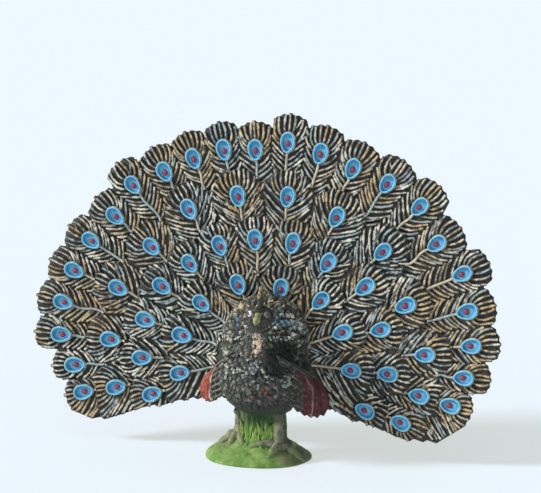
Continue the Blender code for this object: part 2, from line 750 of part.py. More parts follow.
def back_sheet(rows, edges, outline):
    """Back of the fan: plain, with the outer shafts and a short stiff tail."""
    sheet = Sheet()
    rim = [front_height(p, edges) - RIM_THICK for p in outline]
    sheet.chain(outline, rim, closed=True)
    sheet.border = len(outline)

    for feather in rows[-1]:
        across = Vector((math.cos(feather.angle), -math.sin(feather.angle)))
        stations = (TAIL_REACH + TAIL_SPACE, (TAIL_REACH + feather.reach) / 2, feather.reach)
        for side in (-1, 0, 1):
            run = [polar(feather.angle, r) + across * side * BACK_SHAFT_HALF for r in stations]
            rise = 0.0 if side else BACK_SHAFT_RISE
            sheet.chain(run, [back_height(p) - rise for p in run])

    sweep = math.radians(TAIL_SWEEP)
    tips, feet = [], []
    for k in range(TAIL_COUNT * 4 + 1):
        angle = lerp(-sweep, sweep, k / (TAIL_COUNT * 4))
        reach = TAIL_REACH - TAIL_NOTCH * (1 - math.sin(math.pi * (k % 4) / 4))
        tips.append(polar(angle, reach))
        feet.append(polar(angle, reach + TAIL_STEP))
    low = HEM_MIDDLE * 0.55
    for x in (0.6, 0.0, -0.6):
        tips.append(Vector((x * TAIL_REACH * 0.55, -low)))
        feet.append(Vector((x * TAIL_REACH * 0.58, -low - TAIL_STEP)))
    sheet.chain(tips, [back_height(p) - TAIL_RISE for p in tips], closed=True)
    sheet.chain(feet, [back_height(p) for p in feet], closed=True)
    sheet.add(Vector((0, 0)), back_height(Vector((0, 0))) - TAIL_RISE * 1.6)
    return sheet


def build_fan(into, mat):
    """Closed plate: front and back surfaces drawn flat, raised and sewn together."""
    rows, edges = fan_layout()
    outline = fan_outline(rows, edges)
    bm = bmesh.new()
    rims = []
    for sheet, turn in ((front_sheet(rows, edges, outline), False), (back_sheet(rows, edges, outline), True)):
        faces = sheet.triangles()
        verts = [bm.verts.new((p.x, -h, p.y)) for p, h in zip(sheet.points, sheet.heights)]
        for face in faces:
            bm.faces.new([verts[i] for i in (reversed(face) if turn else face)])
        rims.append(verts[: len(outline)])
    front, back = rims
    count = len(outline)
    for i in range(count):
        j = (i + 1) % count
        bm.faces.new((front[i], front[j], back[j], back[i]))
    loose = [v for v in bm.verts if not v.link_faces]
    bmesh.ops.delete(bm, geom=loose, context="VERTS")
    fan = add_object("tail_fan", bm, into, mat)
    fan.location = (0, FAN_ROOT_BACK, FAN_ROOT_HEIGHT)
    fan.rotation_euler.x = -FAN_LEAN
    return fan


clear_scene()
FIGURINE = collection("peacock_figurine")
CUTTERS = collection("cutters")
CUTTERS.hide_render = True

build_base(FIGURINE, paint("painted_grass", (0.16, 0.26, 0.07), 0.62))
build_bird(FIGURINE, paint("painted_plumage", (0.05, 0.07, 0.06), 0.58))
build_fan(FIGURINE, paint("painted_tail", (0.10, 0.09, 0.06), 0.56))
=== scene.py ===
import random
from collections import namedtuple
from math import atan2, cos, degrees, exp, hypot, pi, radians, sin, sqrt, tan

import bmesh
import bpy
from mathutils import Matrix, Vector, kdtree, noise


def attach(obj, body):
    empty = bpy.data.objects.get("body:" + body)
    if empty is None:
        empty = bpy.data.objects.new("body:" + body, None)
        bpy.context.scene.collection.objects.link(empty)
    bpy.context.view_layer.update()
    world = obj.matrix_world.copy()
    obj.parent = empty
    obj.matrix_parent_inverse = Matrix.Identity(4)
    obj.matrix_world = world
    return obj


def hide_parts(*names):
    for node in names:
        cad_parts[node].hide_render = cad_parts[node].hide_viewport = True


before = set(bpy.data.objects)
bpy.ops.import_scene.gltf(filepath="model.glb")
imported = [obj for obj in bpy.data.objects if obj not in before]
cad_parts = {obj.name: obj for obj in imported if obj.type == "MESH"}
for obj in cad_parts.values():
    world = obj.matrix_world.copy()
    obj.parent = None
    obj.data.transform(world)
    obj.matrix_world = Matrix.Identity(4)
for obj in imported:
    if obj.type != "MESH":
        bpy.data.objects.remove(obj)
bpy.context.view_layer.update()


# Grass base: an oval mound with a tuft of grass that props the belly, two legs and six toes,
# moulded in one from soft plastic. The mould line is gone; the green was brushed on by hand.

BASE = ("grass_base", "painted_grass")
BASE_WIDTH = 0.0204
BASE_DEPTH = 0.0168
BASE_EDGE = 0.0004
MOUND_HEIGHT = 0.0039
MOUND_DIP = 0.0006
MOUND_TILT = 0.0004
MOUND_SIDES = 120
MOUND_RINGS = 26
TUFT_WIDTH = 0.0094
TUFT_DEPTH = 0.0074
TUFT_SHIFT = 0.0008
TUFT_RINGS = 19
TUFT_WAVE = 0.045
TUFT_WAIST = 0.09
RIM_WAVE = 0.012
GRASS_GROOVE = 0.0002
GRASS_LUMPS = ((0.0022, 0.0003, 0.0), (0.0008, 0.00012, 3.0))
BELLY_HEIGHT = 0.0098
GAP = 0.0003


def mix(a, b, t):
    return a + (b - a) * t


def smooth(value, start, end):
    """0 before start, 1 after end, an even S between."""
    t = min(1.0, max(0.0, (value - start) / (end - start)))
    return t * t * (3 - 2 * t)


def polar(angle, radius):
    return Vector((radius * sin(angle), radius * cos(angle), 0))


def angles(count):
    """Even steps once round a ring."""
    return [2 * pi * i / count for i in range(count)]


def rings_of(steps, sides, place_at):
    """Rings of points, one ring for each step and one point for each angle round it."""
    return [[place_at(k, a) for a in angles(sides)] for k in steps]


def note(mesh, **values):
    """Keep numbers on a mesh's points for its paint."""
    for key, numbers in values.items():
        mesh.attributes.new(key, "FLOAT", "POINT").data.foreach_set("value", numbers)
    return mesh


def mesh_of(name, points, faces, **values):
    """Mesh with outward faces, and numbers for its paint."""
    mesh = bpy.data.meshes.new(name)
    mesh.from_pydata(points, [], faces)
    note(mesh, **values)
    bm = bmesh.new()
    bm.from_mesh(mesh)
    bmesh.ops.remove_doubles(bm, verts=bm.verts, dist=1e-7)
    bmesh.ops.recalc_face_normals(bm, faces=bm.faces)
    bm.to_mesh(mesh)
    bm.free()
    return mesh


def join(name, meshes):
    """Several meshes as one, with the numbers on their points kept."""
    keys = []
    for mesh in meshes:
        keys += [a.name for a in mesh.attributes if a.data_type == "FLOAT" and a.name not in keys]
    points, faces, values = [], [], {key: [] for key in keys}
    for mesh in meshes:
        start = len(points)
        points += [v.co.copy() for v in mesh.vertices]
        faces += [[start + i for i in f.vertices] for f in mesh.polygons]
        for key in keys:
            layer = mesh.attributes.get(key)
            values[key] += [d.value for d in layer.data] if layer else [0.0] * len(mesh.vertices)
        bpy.data.meshes.remove(mesh)
    whole = bpy.data.meshes.new(name)
    whole.from_pydata(points, [], faces)
    return note(whole, **values)


def skin(rings):
    """Points and faces of a closed skin through rings of equally many points."""
    count = len(rings[0])
    points = [p for ring in rings for p in ring]
    faces = []
    for r in range(len(rings) - 1):
        for i in range(count):
            j = (i + 1) % count
            faces.append((r * count + i, r * count + j, (r + 1) * count + j, (r + 1) * count + i))
    for r in (0, len(rings) - 1):
        points.append(sum(rings[r], Vector()) / count)
        middle = len(points) - 1
        faces += [(r * count + i, r * count + (i + 1) % count, middle) for i in range(count)]
    return points, faces


def stand(name, data):
    """Object for a mesh, light or camera, set in the scene."""
    made = bpy.data.objects.new(name, data)
    bpy.context.scene.collection.objects.link(made)
    return made


def place(mesh, paint, node, slot):
    """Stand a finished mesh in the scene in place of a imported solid."""
    mesh.materials.clear()
    mesh.materials.append(paint.material)
    mesh.shade_smooth()
    piece = stand(mesh.name, mesh)
    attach(piece, "root")
    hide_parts(node)


class Value:
    """A number in a paint that changes over the surface."""

    def __init__(self, paint, socket):
        self.paint, self.socket = paint, socket

    def __add__(self, other):
        return self.paint.sum("ADD", self, other)

    def __radd__(self, other):
        return self.paint.sum("ADD", other, self)

    def __sub__(self, other):
        return self.paint.sum("SUBTRACT", self, other)

    def __rsub__(self, other):
        return self.paint.sum("SUBTRACT", other, self)

    def __mul__(self, other):
        return self.paint.sum("MULTIPLY", self, other)

    def __rmul__(self, other):
        return self.paint.sum("MULTIPLY", other, self)

    def __pow__(self, other):
        return self.paint.sum("POWER", self, other)

    def __abs__(self):
        return self.paint.sum("ABSOLUTE", self)

    def most(self, *others):
        """The largest of several numbers."""
        for other in others:
            self = self.paint.sum("MAXIMUM", self, other)
        return self

    def rise(self, start, end):
        """0 before start, 1 after end, an even S between."""
        settings = {"interpolation_type": "SMOOTHSTEP"}
        made = self.paint.node("ShaderNodeMapRange", settings, {0: self, 1: start, 2: end})
        return Value(self.paint, made.outputs[0])


class Nodes:
    """Ways to add nodes to a tree."""

    def plug(self, socket, value):
        if isinstance(value, Value):
            value = value.socket
        if isinstance(value, bpy.types.NodeSocket):
            self.tree.links.new(value, socket)
        elif socket.type == "RGBA":
            socket.default_value = (*value, 1.0)
        else:
            socket.default_value = value

    def node(self, kind, settings, sockets):
        made = self.tree.nodes.new(kind)
        for key, value in settings.items():
            setattr(made, key, value)
        for key, value in sockets.items():
            self.plug(made.inputs[key], value)
        return made


class Paint(Nodes):
    """A painted finish: one Principled shader and the nodes that vary it."""

    def __init__(self, name, specular=0.4):
        self.material = bpy.data.materials.new(name)
        self.material.use_nodes = True
        self.tree = self.material.node_tree
        self.shader = self.tree.nodes["Principled BSDF"].inputs
        self.shader["Specular IOR Level"].default_value = specular
        self.spot = self.node("ShaderNodeTexCoord", {}, {}).outputs["Object"]
        axes = self.node("ShaderNodeSeparateXYZ", {}, {0: self.spot}).outputs
        self.x, self.y, self.z = [Value(self, axis) for axis in axes]

    def sum(self, operation, *values):
        made = self.node("ShaderNodeMath", {"operation": operation}, dict(enumerate(values)))
        return Value(self, made.outputs[0])

    def number(self, name):
        """A number that the mesh keeps on each of its points."""
        made = self.node("ShaderNodeAttribute", {"attribute_name": name}, {})
        return Value(self, made.outputs["Fac"])

    def cloud(self, size, detail=3.0, rough=0.55, stretch=(1.0, 1.0, 1.0)):
        """Uneven patches about as large as size, from 0 to 1."""
        move = self.node("ShaderNodeMapping", {}, {0: self.spot, 3: stretch})
        made = self.node("ShaderNodeTexNoise", {}, {
            "Vector": move.outputs[0], "Scale": 1 / size, "Detail": detail, "Roughness": rough})
        return Value(self, made.outputs["Fac"]).rise(0.28, 0.72)

    def blend(self, share, first, second):
        """Two colours, the second laid over the first by a share."""
        settings = {"data_type": "RGBA", "clamp_factor": True}
        return self.node("ShaderNodeMix", settings, {0: share, 6: first, 7: second}).outputs[2]

    def layers(self, colour, *coats):
        """Coats brushed over a colour in turn, each a share and its own colour."""
        for share, laid in coats:
            colour = self.blend(share, colour, laid)
        return colour

    def patch(self, centre, size, soft=0.5):
        """1 round a place in the piece, falling to 0 at size from it."""
        away = 0.0
        for axis, middle, reach in zip((self.x, self.y, self.z), centre, size):
            away = away + ((axis - middle) * (1 / reach)) ** 2
        return 1 - away.rise(soft, 1.0)

    def coat(self, colour, roughness, relief=None, height=0.0001):
        self.plug(self.shader["Base Color"], colour)
        self.plug(self.shader["Roughness"], roughness)
        if relief:
            sockets = {"Height": relief, "Distance": height, "Strength": 1.0}
            self.plug(self.shader["Normal"], self.node("ShaderNodeBump", {}, sockets).outputs[0])


def mound_height(share, angle):
    """Height of the mound at a share of the way from the rim to the tuft."""
    top = MOUND_HEIGHT - MOUND_DIP * max(0.0, -sin(angle)) - MOUND_TILT * cos(angle)
    return BASE_EDGE + (top - BASE_EDGE) * share ** 0.8


def mound_point(x, y):
    angle = atan2(2 * y / BASE_DEPTH, 2 * x / BASE_WIDTH)
    rim = hypot(2 * x / BASE_WIDTH, 2 * y / BASE_DEPTH)
    share = min(1.0, max(0.0, (1 - rim) / (1 - TUFT_WIDTH / BASE_WIDTH)))
    return Vector((x, y, mound_height(share, angle)))


def uneven(point, size, depth, seed=0.0):
    """Soft lumps: how far a point of the surface stands out."""
    return depth * noise.noise(point / size + Vector((seed, 2 * seed, 5.0)))


def mound_spot(k, a):
    """Point of the mound and tuft: ring k from the underside's edge up to the belly."""
    last = MOUND_RINGS + TUFT_RINGS
    if k <= MOUND_RINGS:
        share = max(0.0, k / MOUND_RINGS)
        centre = TUFT_SHIFT * share
        half_x = mix(BASE_WIDTH, TUFT_WIDTH, share) / 2
        half_y = mix(BASE_DEPTH, TUFT_DEPTH, share) / 2
        wave = 1 + mix(RIM_WAVE, TUFT_WAVE, share) * sin(5 * a + 2.6 * share)
        z = 0.0 if k == -2 else BASE_EDGE * 0.7 if k == -1 else mound_height(share, a)
    else:
        up = (k - MOUND_RINGS) / TUFT_RINGS
        grow = 1 - TUFT_WAIST * sin(pi * up)
        centre, half_x, half_y = TUFT_SHIFT, TUFT_WIDTH / 2 * grow, TUFT_DEPTH / 2 * grow
        wave = 1 + TUFT_WAVE * sin(7 * a + 2.6)
        z = mix(mound_height(1.0, a), BELLY_HEIGHT - GAP, up)
    point = Vector((centre + half_x * wave * cos(a), half_y * wave * sin(a), z))
    if k >= 0:
        lump = sum(uneven(point, *kind) for kind in GRASS_LUMPS)
        out = Vector((cos(a), sin(a), 0) if k >= MOUND_RINGS - 2 else (0, 0, 1))
        groove = GRASS_GROOVE * sin(23 * a + 3 * sin(4 * a)) * (k >= MOUND_RINGS - 4)
        point += out * (lump * min(1.0, k / 3) * (k < last) + groove * (k < last - 1))
    return point


grass = Paint("grass_paint", specular=0.3)
patches = grass.cloud(0.0042)
strokes = grass.cloud(0.0011, 4.0, 0.6, (1.0, 1.0, 0.45))
sides = grass.z.rise(0.0036, 0.0048) * abs(grass.x - TUFT_SHIFT).rise(0.0026, 0.0036)
olive = sides.most(grass.patch((-0.0062, -0.0022, 0.0042), (0.0034, 0.004, 0.003)),
                   grass.patch((0.0072, -0.0042, 0.002), (0.003, 0.0034, 0.003)))
# Dark olive grey patches over the right of the mound and tuft: painted shade on the side turned
# from the light.
worn = grass.patch((0.0096, 0.0005, 0.001), (0.003, 0.008, 0.004)).most(
    grass.patch((0.0058, -0.001, 0.0062), (0.0021, 0.006, 0.005)))
colour = grass.layers(
    grass.blend(patches, (0.12, 0.265, 0.048), (0.265, 0.42, 0.11)),
    (strokes * 0.4, (0.36, 0.51, 0.165)),
    (grass.number("blade").rise(0.0, 0.8) * 0.8, (0.47, 0.7, 0.17)),
    ((1 - strokes) * 0.35, (0.06, 0.13, 0.03)),
    # Darker green towards the top of the tuft: painted shade under the belly.
    (grass.z.rise(0.005, 0.0086) * 0.92, (0.02, 0.062, 0.022)),
    (olive * (0.4 + 0.5 * patches), (0.19, 0.2, 0.105)),
    # Painted shade on the right side of the mound and tuft.
    (worn * 0.85, (0.105, 0.11, 0.08)))
grass.coat(colour, 0.62 + strokes * 0.12, strokes + patches * 0.5, 0.00006)
mound = skin(rings_of(range(-2, MOUND_RINGS + TUFT_RINGS + 1), MOUND_SIDES, mound_spot))
place(mesh_of("grass_mound", *mound), grass, *BASE)

# Grass blades: they lie flat against the tuft, in the same moulding, and were touched with a
# lighter green. One tapering blade is repeated all round the tuft.

BLADE_COUNT = 150
BLADE_LENGTHS = (0.0018, 0.0028)


class Recipe(Nodes):
    """A geometry nodes tree with named inputs that ends in a plain painted mesh."""

    def __init__(self, name, **inputs):
        self.tree = bpy.data.node_groups.new(name, "GeometryNodeTree")
        face = self.tree.interface
        face.new_socket("Geometry", in_out="INPUT", socket_type="NodeSocketGeometry")
        for key, value in inputs.items():
            kind = "NodeSocketInt" if isinstance(value, int) else "NodeSocketFloat"
            face.new_socket(key, in_out="INPUT", socket_type=kind).default_value = value
        face.new_socket("Paint", in_out="INPUT", socket_type="NodeSocketMaterial")
        face.new_socket("Geometry", in_out="OUTPUT", socket_type="NodeSocketGeometry")
        self.given = self.node("NodeGroupInput", {}, {}).outputs

    def step(self, kind, settings, sockets, output=0):
        return self.node(kind, settings, sockets).outputs[output]

    def kept(self, name, kind="FLOAT"):
        """A number or arrow that the mesh keeps on each of its points."""
        settings = {"data_type": kind}
        return self.step("GeometryNodeInputNamedAttribute", settings, {"Name": name}, "Attribute")

    def end(self, geometry):
        whole = self.step("GeometryNodeRealizeInstances", {}, {0: geometry})
        sockets = {0: whole, "Material": self.given["Paint"]}
        self.node("NodeGroupOutput", {}, {0: self.step("GeometryNodeSetMaterial", {}, sockets)})

    def make(self, name, mesh, paint, **values):
        carrier = stand("carrier", mesh)
        live = carrier.modifiers.new(self.tree.name, "NODES")
        live.node_group = self.tree
        values["Paint"] = paint.material
        for item in self.tree.interface.items_tree:
            if item.in_out == "INPUT" and item.name in values:
                live[item.identifier] = values[item.name]
        graph = bpy.context.evaluated_depsgraph_get()
        made = bpy.data.meshes.new_from_object(
            carrier.evaluated_get(graph), preserve_all_data_layers=True, depsgraph=graph)
        carrier.modifiers.clear()
        bpy.data.objects.remove(carrier)
        bpy.data.meshes.remove(mesh)
        made.name = name
        return made


def repeat(name, shape, entries, keys, paint):
    """One mesh of a small shape that is stood on every entry.

    An entry is a place, the ways it faces and points, its size and the numbers named by keys.
    """
    points = bpy.data.meshes.new("spots")
    points.from_pydata([e[0] for e in entries], [], [])
    for column, key in enumerate(("facing", "aim"), 1):
        flat = [n for e in entries for n in e[column]]
        points.attributes.new(key, "FLOAT_VECTOR", "POINT").data.foreach_set("vector", flat)
    for column, key in enumerate(("size", *keys), 3):
        note(points, **{key: [e[column] for e in entries]})
    pattern = stand(shape.name, shape)
    tree = Recipe(name + "_setting", Size=1.0)
    instance = tree.step("GeometryNodeObjectInfo", {}, {"Object": pattern}, "Geometry")
    align = "FunctionNodeAlignRotationToVector"
    turn = tree.step(align, {"axis": "Z"}, {"Vector": tree.kept("facing", "FLOAT_VECTOR")})
    sockets = {"Rotation": turn, "Vector": tree.kept("aim", "FLOAT_VECTOR")}
    turn = tree.step(align, {"axis": "Y", "pivot_axis": "Z"}, sockets)
    sockets = {0: tree.kept("size"), 1: tree.given["Size"]}
    size = tree.step("ShaderNodeMath", {"operation": "MULTIPLY"}, sockets)
    tree.end(tree.step("GeometryNodeInstanceOnPoints", {}, {
        "Points": tree.given["Geometry"], "Instance": instance, "Rotation": turn, "Scale": size}))
    made = tree.make(name, points, paint)
    bpy.data.objects.remove(pattern)
    return made


def blade_mesh():
    """Curved tapering blade, 1 long along Y, standing out along Z towards its tip."""
    rings, tone = [], []
    for k in range(6):
        t = k / 5
        half = 0.12 * (1 - t) ** 0.6 + 0.012
        thick = 0.11 * (1 - 0.8 * t)
        lift = 0.03 * t * t
        rings.append([Vector((half, t, lift)), Vector((0, t, lift + thick)),
                      Vector((-half, t, lift)), Vector((0, t, lift - thick * 0.6))])
        tone += [t] * 4
    return mesh_of("blade_pattern", *skin(rings), blade=tone + [0.0, 1.0])


def blade_spots():
    rng = random.Random(41)
    entries = []
    for _ in range(BLADE_COUNT):
        a = rng.uniform(0, 2 * pi)
        out = Vector((cos(a), sin(a) * TUFT_DEPTH / TUFT_WIDTH, 0))
        foot = Vector((TUFT_SHIFT, 0, 0)) + out * TUFT_WIDTH / 2 * rng.uniform(0.94, 0.98)
        foot.z = mound_height(1.0, a) + rng.uniform(-0.0003, 0.0026)
        lean = Vector((rng.uniform(-0.35, 0.35), rng.uniform(-0.2, 0.2), 1.0)).normalized()
        entries.append((foot, out.normalized(), lean, rng.uniform(*BLADE_LENGTHS)))
    return entries


blades = repeat("grass_blades", blade_mesh(), blade_spots(), (), grass)
place(blades, grass, *BASE)

# Legs: with their toes they come up out of the mound like roots, in the same moulding. Dull olive
# paint, mottled, greener towards the toes' ends, with painted shade below the belly and on the
# right.

LEG_SPREAD = 0.0078
LEG_FORWARD = 0.0024
STRIDE = 0.0022
LEG_RADIUS = 0.00098
LEG_SIDES = 18
RIGHT_LEG_OUT = 0.00035
RIGHT_LEG_FORWARD = 0.0006
TOE_LENGTH = 0.005
TOE_RADIUS = 0.00066
TOE_SIDES = 14
KNOB = 0.1
KNOB_SIZE = 0.0009
LEG_LUMPS = 0.00022
TOE_LUMPS = 0.0002
TOE_SINK = 0.00025
RIGHT_TOE_DROP = 0.0003
RIGHT_TOES = ((-84, 0.84), (-30, 0.6), (28, 0.66))
LEFT_TOES = ((-68, 1.1), (-14, 0.78), (88, 0.98))


def at_height(point, z):
    return Vector((point.x, point.y, z))


def curve_points(path, steps):
    """Even curve through a path's points."""
    made = []
    for i in range(len(path) - 1):
        p0, p1 = path[max(i - 1, 0)], path[i]
        p2, p3 = path[i + 1], path[min(i + 2, len(path) - 1)]
        for k in range(steps):
            t = k / steps
            a = (p1 * 2 + (p2 - p0) * t + (p0 * 2 - p1 * 5 + p2 * 4 - p3) * t ** 2
                 + (p1 * 3 - p0 - p2 * 3 + p3) * t ** 3)
            made.append(a * 0.5)
    return made + [path[-1]]


def limb(path, radii, sides, lumps, seed):
    """Knobbly tapering tube along a path."""
    line = curve_points([Vector((*p, r)) for p, r in zip(path, radii)], 6)

    def spot(i, a):
        ahead = line[min(i + 1, len(line) - 1)].xyz - line[max(i - 1, 0)].xyz
        step = ahead.to_track_quat("Z", "Y").to_matrix() @ Vector((cos(a), sin(a), 0))
        point = line[i].xyz + step * line[i].w * (1 + KNOB * sin(i * 1.1 + seed))
        return point + step * uneven(point, KNOB_SIZE, lumps, seed)

    return skin(rings_of(range(len(line)), sides, spot))


def leg_meshes():
    made = []
    legs = ((-1, LEG_SPREAD / 2 + RIGHT_LEG_OUT, LEG_FORWARD - STRIDE + RIGHT_LEG_FORWARD,
             RIGHT_TOE_DROP, RIGHT_TOES),
            (1, LEG_SPREAD / 2, LEG_FORWARD, 0.0, LEFT_TOES))
    for side, out, forward, drop, toes in legs:
        x = TUFT_SHIFT + side * out
        foot = mound_point(x, -forward)
        hip = Vector((x * 0.96, -forward * 0.88, BELLY_HEIGHT - GAP - 0.0001))
        path = [mix(hip, foot, t) for t in (0.0, 0.3, 0.65, 0.95)]
        path.append(foot - Vector((0, 0, 0.001)))
        radii = [LEG_RADIUS * g for g in (1.18, 0.98, 0.94, 1.2, 1.3)]
        made.append(mesh_of("leg", *limb(path, radii, LEG_SIDES, LEG_LUMPS, side)))
        for k, (turn, share) in enumerate(toes):
            aim, reach = radians(turn), TOE_LENGTH * share
            path = []
            for t in (0.0, 0.3, 0.65, 1.0):
                spot = mound_point(foot.x + sin(aim) * reach * t, foot.y - cos(aim) * reach * t)
                arch = TOE_RADIUS * (0.4 + 0.9 * sin(pi * t * 0.8)) * (1 - 0.95 * t) - drop * t
                path.append(spot + Vector((0, 0, arch - TOE_SINK * t)))
            path[0].z = foot.z
            radii = [TOE_RADIUS * g for g in (1.75, 1.35, 1.1, 0.62)]
            points, faces = limb(path, radii, TOE_SIDES, TOE_LUMPS, side + k)
            away = [min(1.0, (p.xy - foot.xy).length / reach) for p in points]
            points = [at_height(p, max(p.z, BASE_EDGE)) for p in points]
            made.append(mesh_of("toe", points, faces, away=away))
    return made


leg_paint = Paint("leg_paint", specular=0.3)
mottle = leg_paint.cloud(0.0012, 4.0, 0.6)
grassy = leg_paint.blend(leg_paint.x.rise(-0.002, 0.002), (0.25, 0.28, 0.125), (0.13, 0.24, 0.065))
colour = leg_paint.layers(
    leg_paint.blend(mottle, (0.13, 0.14, 0.08), (0.36, 0.35, 0.24)),
    # Darker towards the top of the legs: painted shade under the belly.
    (leg_paint.z.rise(0.0066, 0.0092) * 0.7, (0.045, 0.06, 0.038)),
    # Darker on the right: painted shade on the side turned from the light.
    (leg_paint.x.rise(0.0044, 0.006) * 0.6, (0.085, 0.088, 0.068)),
    (leg_paint.number("away").rise(0.25, 0.95) * (0.35 + 0.5 * mottle), grassy))
leg_paint.coat(colour, 0.6 + mottle * 0.12, mottle, 0.00008)
place(join("legs_and_toes", leg_meshes()), leg_paint, *BASE)


# Bird: belly, breast, neck and head are one thick moulding. The paint is nearly black green,
# dry brushed in grey and cream, with small dabs of teal, blue and rose. A painted shadow lies
# right of the neck, and the brushing is painted paler on the lit left side.

BIRD = ("peacock_bird", "painted_plumage")
BIRD_SHIFT = 0.001
BODY_WIDTH = 0.015
BODY_DEPTH = 0.0126
BODY_FORWARD = 0.003
BELLY_ASIDE = 0.0007
SHOULDER_HEIGHT = 0.0205
NECK_WIDTH = 0.0048
HEAD_WIDTH = 0.005
HEAD_LENGTH = 0.0056
HEAD_HEIGHT = 0.0284
HEAD_ASIDE = 0.0009
CROWN = 0.0017
CHIN = 0.0016
BODY_RINGS = 84
BODY_SIDES = 72
BODY_LUMP_SIZE = 0.0016
BODY_LUMPS = 0.0003
BODY_GROOVE = 0.0001
HEAD = Vector((BIRD_SHIFT + HEAD_ASIDE, -BODY_FORWARD * 1.56, HEAD_HEIGHT))
FAN_LEAN = radians(10.2)
FAN_ROOT_HEIGHT = 0.01795
FAN_ROOT_BACK = 0.00463
PAD_HEIGHT = 0.0014


def fan_front_y(z):
    """Where the bird's flat back meets the tail's seat at height z, glue line included."""
    forward = (PAD_HEIGHT + GAP) / cos(FAN_LEAN)
    return FAN_ROOT_BACK + (z - FAN_ROOT_HEIGHT) * tan(FAN_LEAN) - forward


def body_stations():
    low, high = HEAD_HEIGHT - CHIN, HEAD_HEIGHT + CROWN
    half, deep = BODY_WIDTH / 2, BODY_DEPTH / 2
    neck, skull, long = NECK_WIDTH / 2, HEAD_WIDTH / 2, HEAD_LENGTH / 2
    rise, span = SHOULDER_HEIGHT - BELLY_HEIGHT, low - SHOULDER_HEIGHT
    return [
        (BELLY_HEIGHT, 0.72, half * 0.66, deep * 0.54),
        (BELLY_HEIGHT + rise * 0.08, 0.82, half * 0.76, deep * 0.72),
        (BELLY_HEIGHT + rise * 0.24, 0.95, half * 0.88, deep * 0.9),
        (BELLY_HEIGHT + rise * 0.45, 1.02, half, deep),
        (BELLY_HEIGHT + rise * 0.68, 1.06, half * 0.99, deep * 1.01),
        (BELLY_HEIGHT + rise * 0.87, 1.08, half * 0.91, deep * 0.95),
        (SHOULDER_HEIGHT, 1.1, half * 0.78, deep * 0.83),
        (SHOULDER_HEIGHT + span * 0.28, 1.26, half * 0.56, deep * 0.64),
        (SHOULDER_HEIGHT + span * 0.52, 1.45, neck * 1.3, deep * 0.48),
        (SHOULDER_HEIGHT + span * 0.76, 1.55, neck * 1.02, neck * 1.15),
        (low, 1.56, skull * 0.94, long * 0.9),
        (mix(low, high, 0.45), 1.58, skull, long),
        (mix(low, high, 0.8), 1.53, skull * 0.8, long * 0.8),
        (high, 1.48, skull * 0.36, long * 0.4),
    ]


def body_section(z):
    """Middle, half width and half depth of the body at a height."""
    table = [Vector(s) for s in body_stations()]
    i = max(k for k in range(len(table) - 1) if table[k][0] <= z + 1e-9)
    t = (z - table[i][0]) / (table[i + 1][0] - table[i][0])
    m0 = (table[i + 1] - table[max(i - 1, 0)]) / 2
    m1 = (table[min(i + 2, len(table) - 1)] - table[i]) / 2
    p0, p1 = table[i], table[i + 1]
    s = (p0 * (2 * t ** 3 - 3 * t * t + 1) + m0 * (t ** 3 - 2 * t * t + t)
         + p1 * (3 * t * t - 2 * t ** 3) + m1 * (t ** 3 - t * t))
    span = HEAD_HEIGHT - CHIN - SHOULDER_HEIGHT
    up = min(1.0, max(0.0, (z - SHOULDER_HEIGHT) / span))
    low = max(0.0, 1 - (z - BELLY_HEIGHT) / (SHOULDER_HEIGHT - BELLY_HEIGHT))
    x = BIRD_SHIFT + HEAD_ASIDE * up + BELLY_ASIDE * low
    return Vector((x, -BODY_FORWARD * s[1], z)), s[2], s[3]


def body_point(z, a):
    """Point on the body's skin and the way it faces."""
    middle, wide, deep = body_section(z)
    point = middle + Vector((wide * cos(a), deep * sin(a), 0))
    near = body_section(min(z + 0.0003, HEAD_HEIGHT + CROWN))
    above = near[0] + Vector((near[1] * cos(a), near[2] * sin(a), 0))
    facing = Vector((-wide * sin(a), deep * cos(a), 0)).cross(above - point)
    if facing.length < 1e-12:
        facing = Vector((cos(a), sin(a), 0))
    return point, facing.normalized()


def body_spot(k, a):
    z = mix(BELLY_HEIGHT, HEAD_HEIGHT + CROWN, k / BODY_RINGS)
    point, facing = body_point(z, a)
    head = smooth(z, HEAD_HEIGHT - CHIN - 0.0012, HEAD_HEIGHT - CHIN)
    lump = uneven(point, BODY_LUMP_SIZE, BODY_LUMPS * (1 - 0.8 * head), 1.0)
    point += facing * (lump + BODY_GROOVE * sin(18 * a + z * 2600) * (1 - head))
    point.y = min(point.y, fan_front_y(point.z))
    return point if 0 < k < BODY_RINGS else at_height(point, z)


plumage = Paint("plumage_paint", specular=0.35)
brushed = plumage.cloud(0.0009, 5.0, 0.65)
streaks = plumage.cloud(0.0007, 4.0, 0.6, (0.45, 1.0, 1.0))
broad = plumage.cloud(0.005, 2.0)
tip = plumage.number("tip")
tone = plumage.number("tone")
dab = plumage.number("dab")
low = 1 - plumage.z.rise(0.015, 0.019)
# More brushing on the left of the body: painted light.
left = 1 - plumage.x.rise(0.001, 0.007)
sweep = plumage.cloud(0.0026, 3.0, 0.6, (0.55, 1.0, 1.7))
cheek = plumage.patch((0.0056, -0.001, 0.0252), (0.0034, 0.009, 0.003))
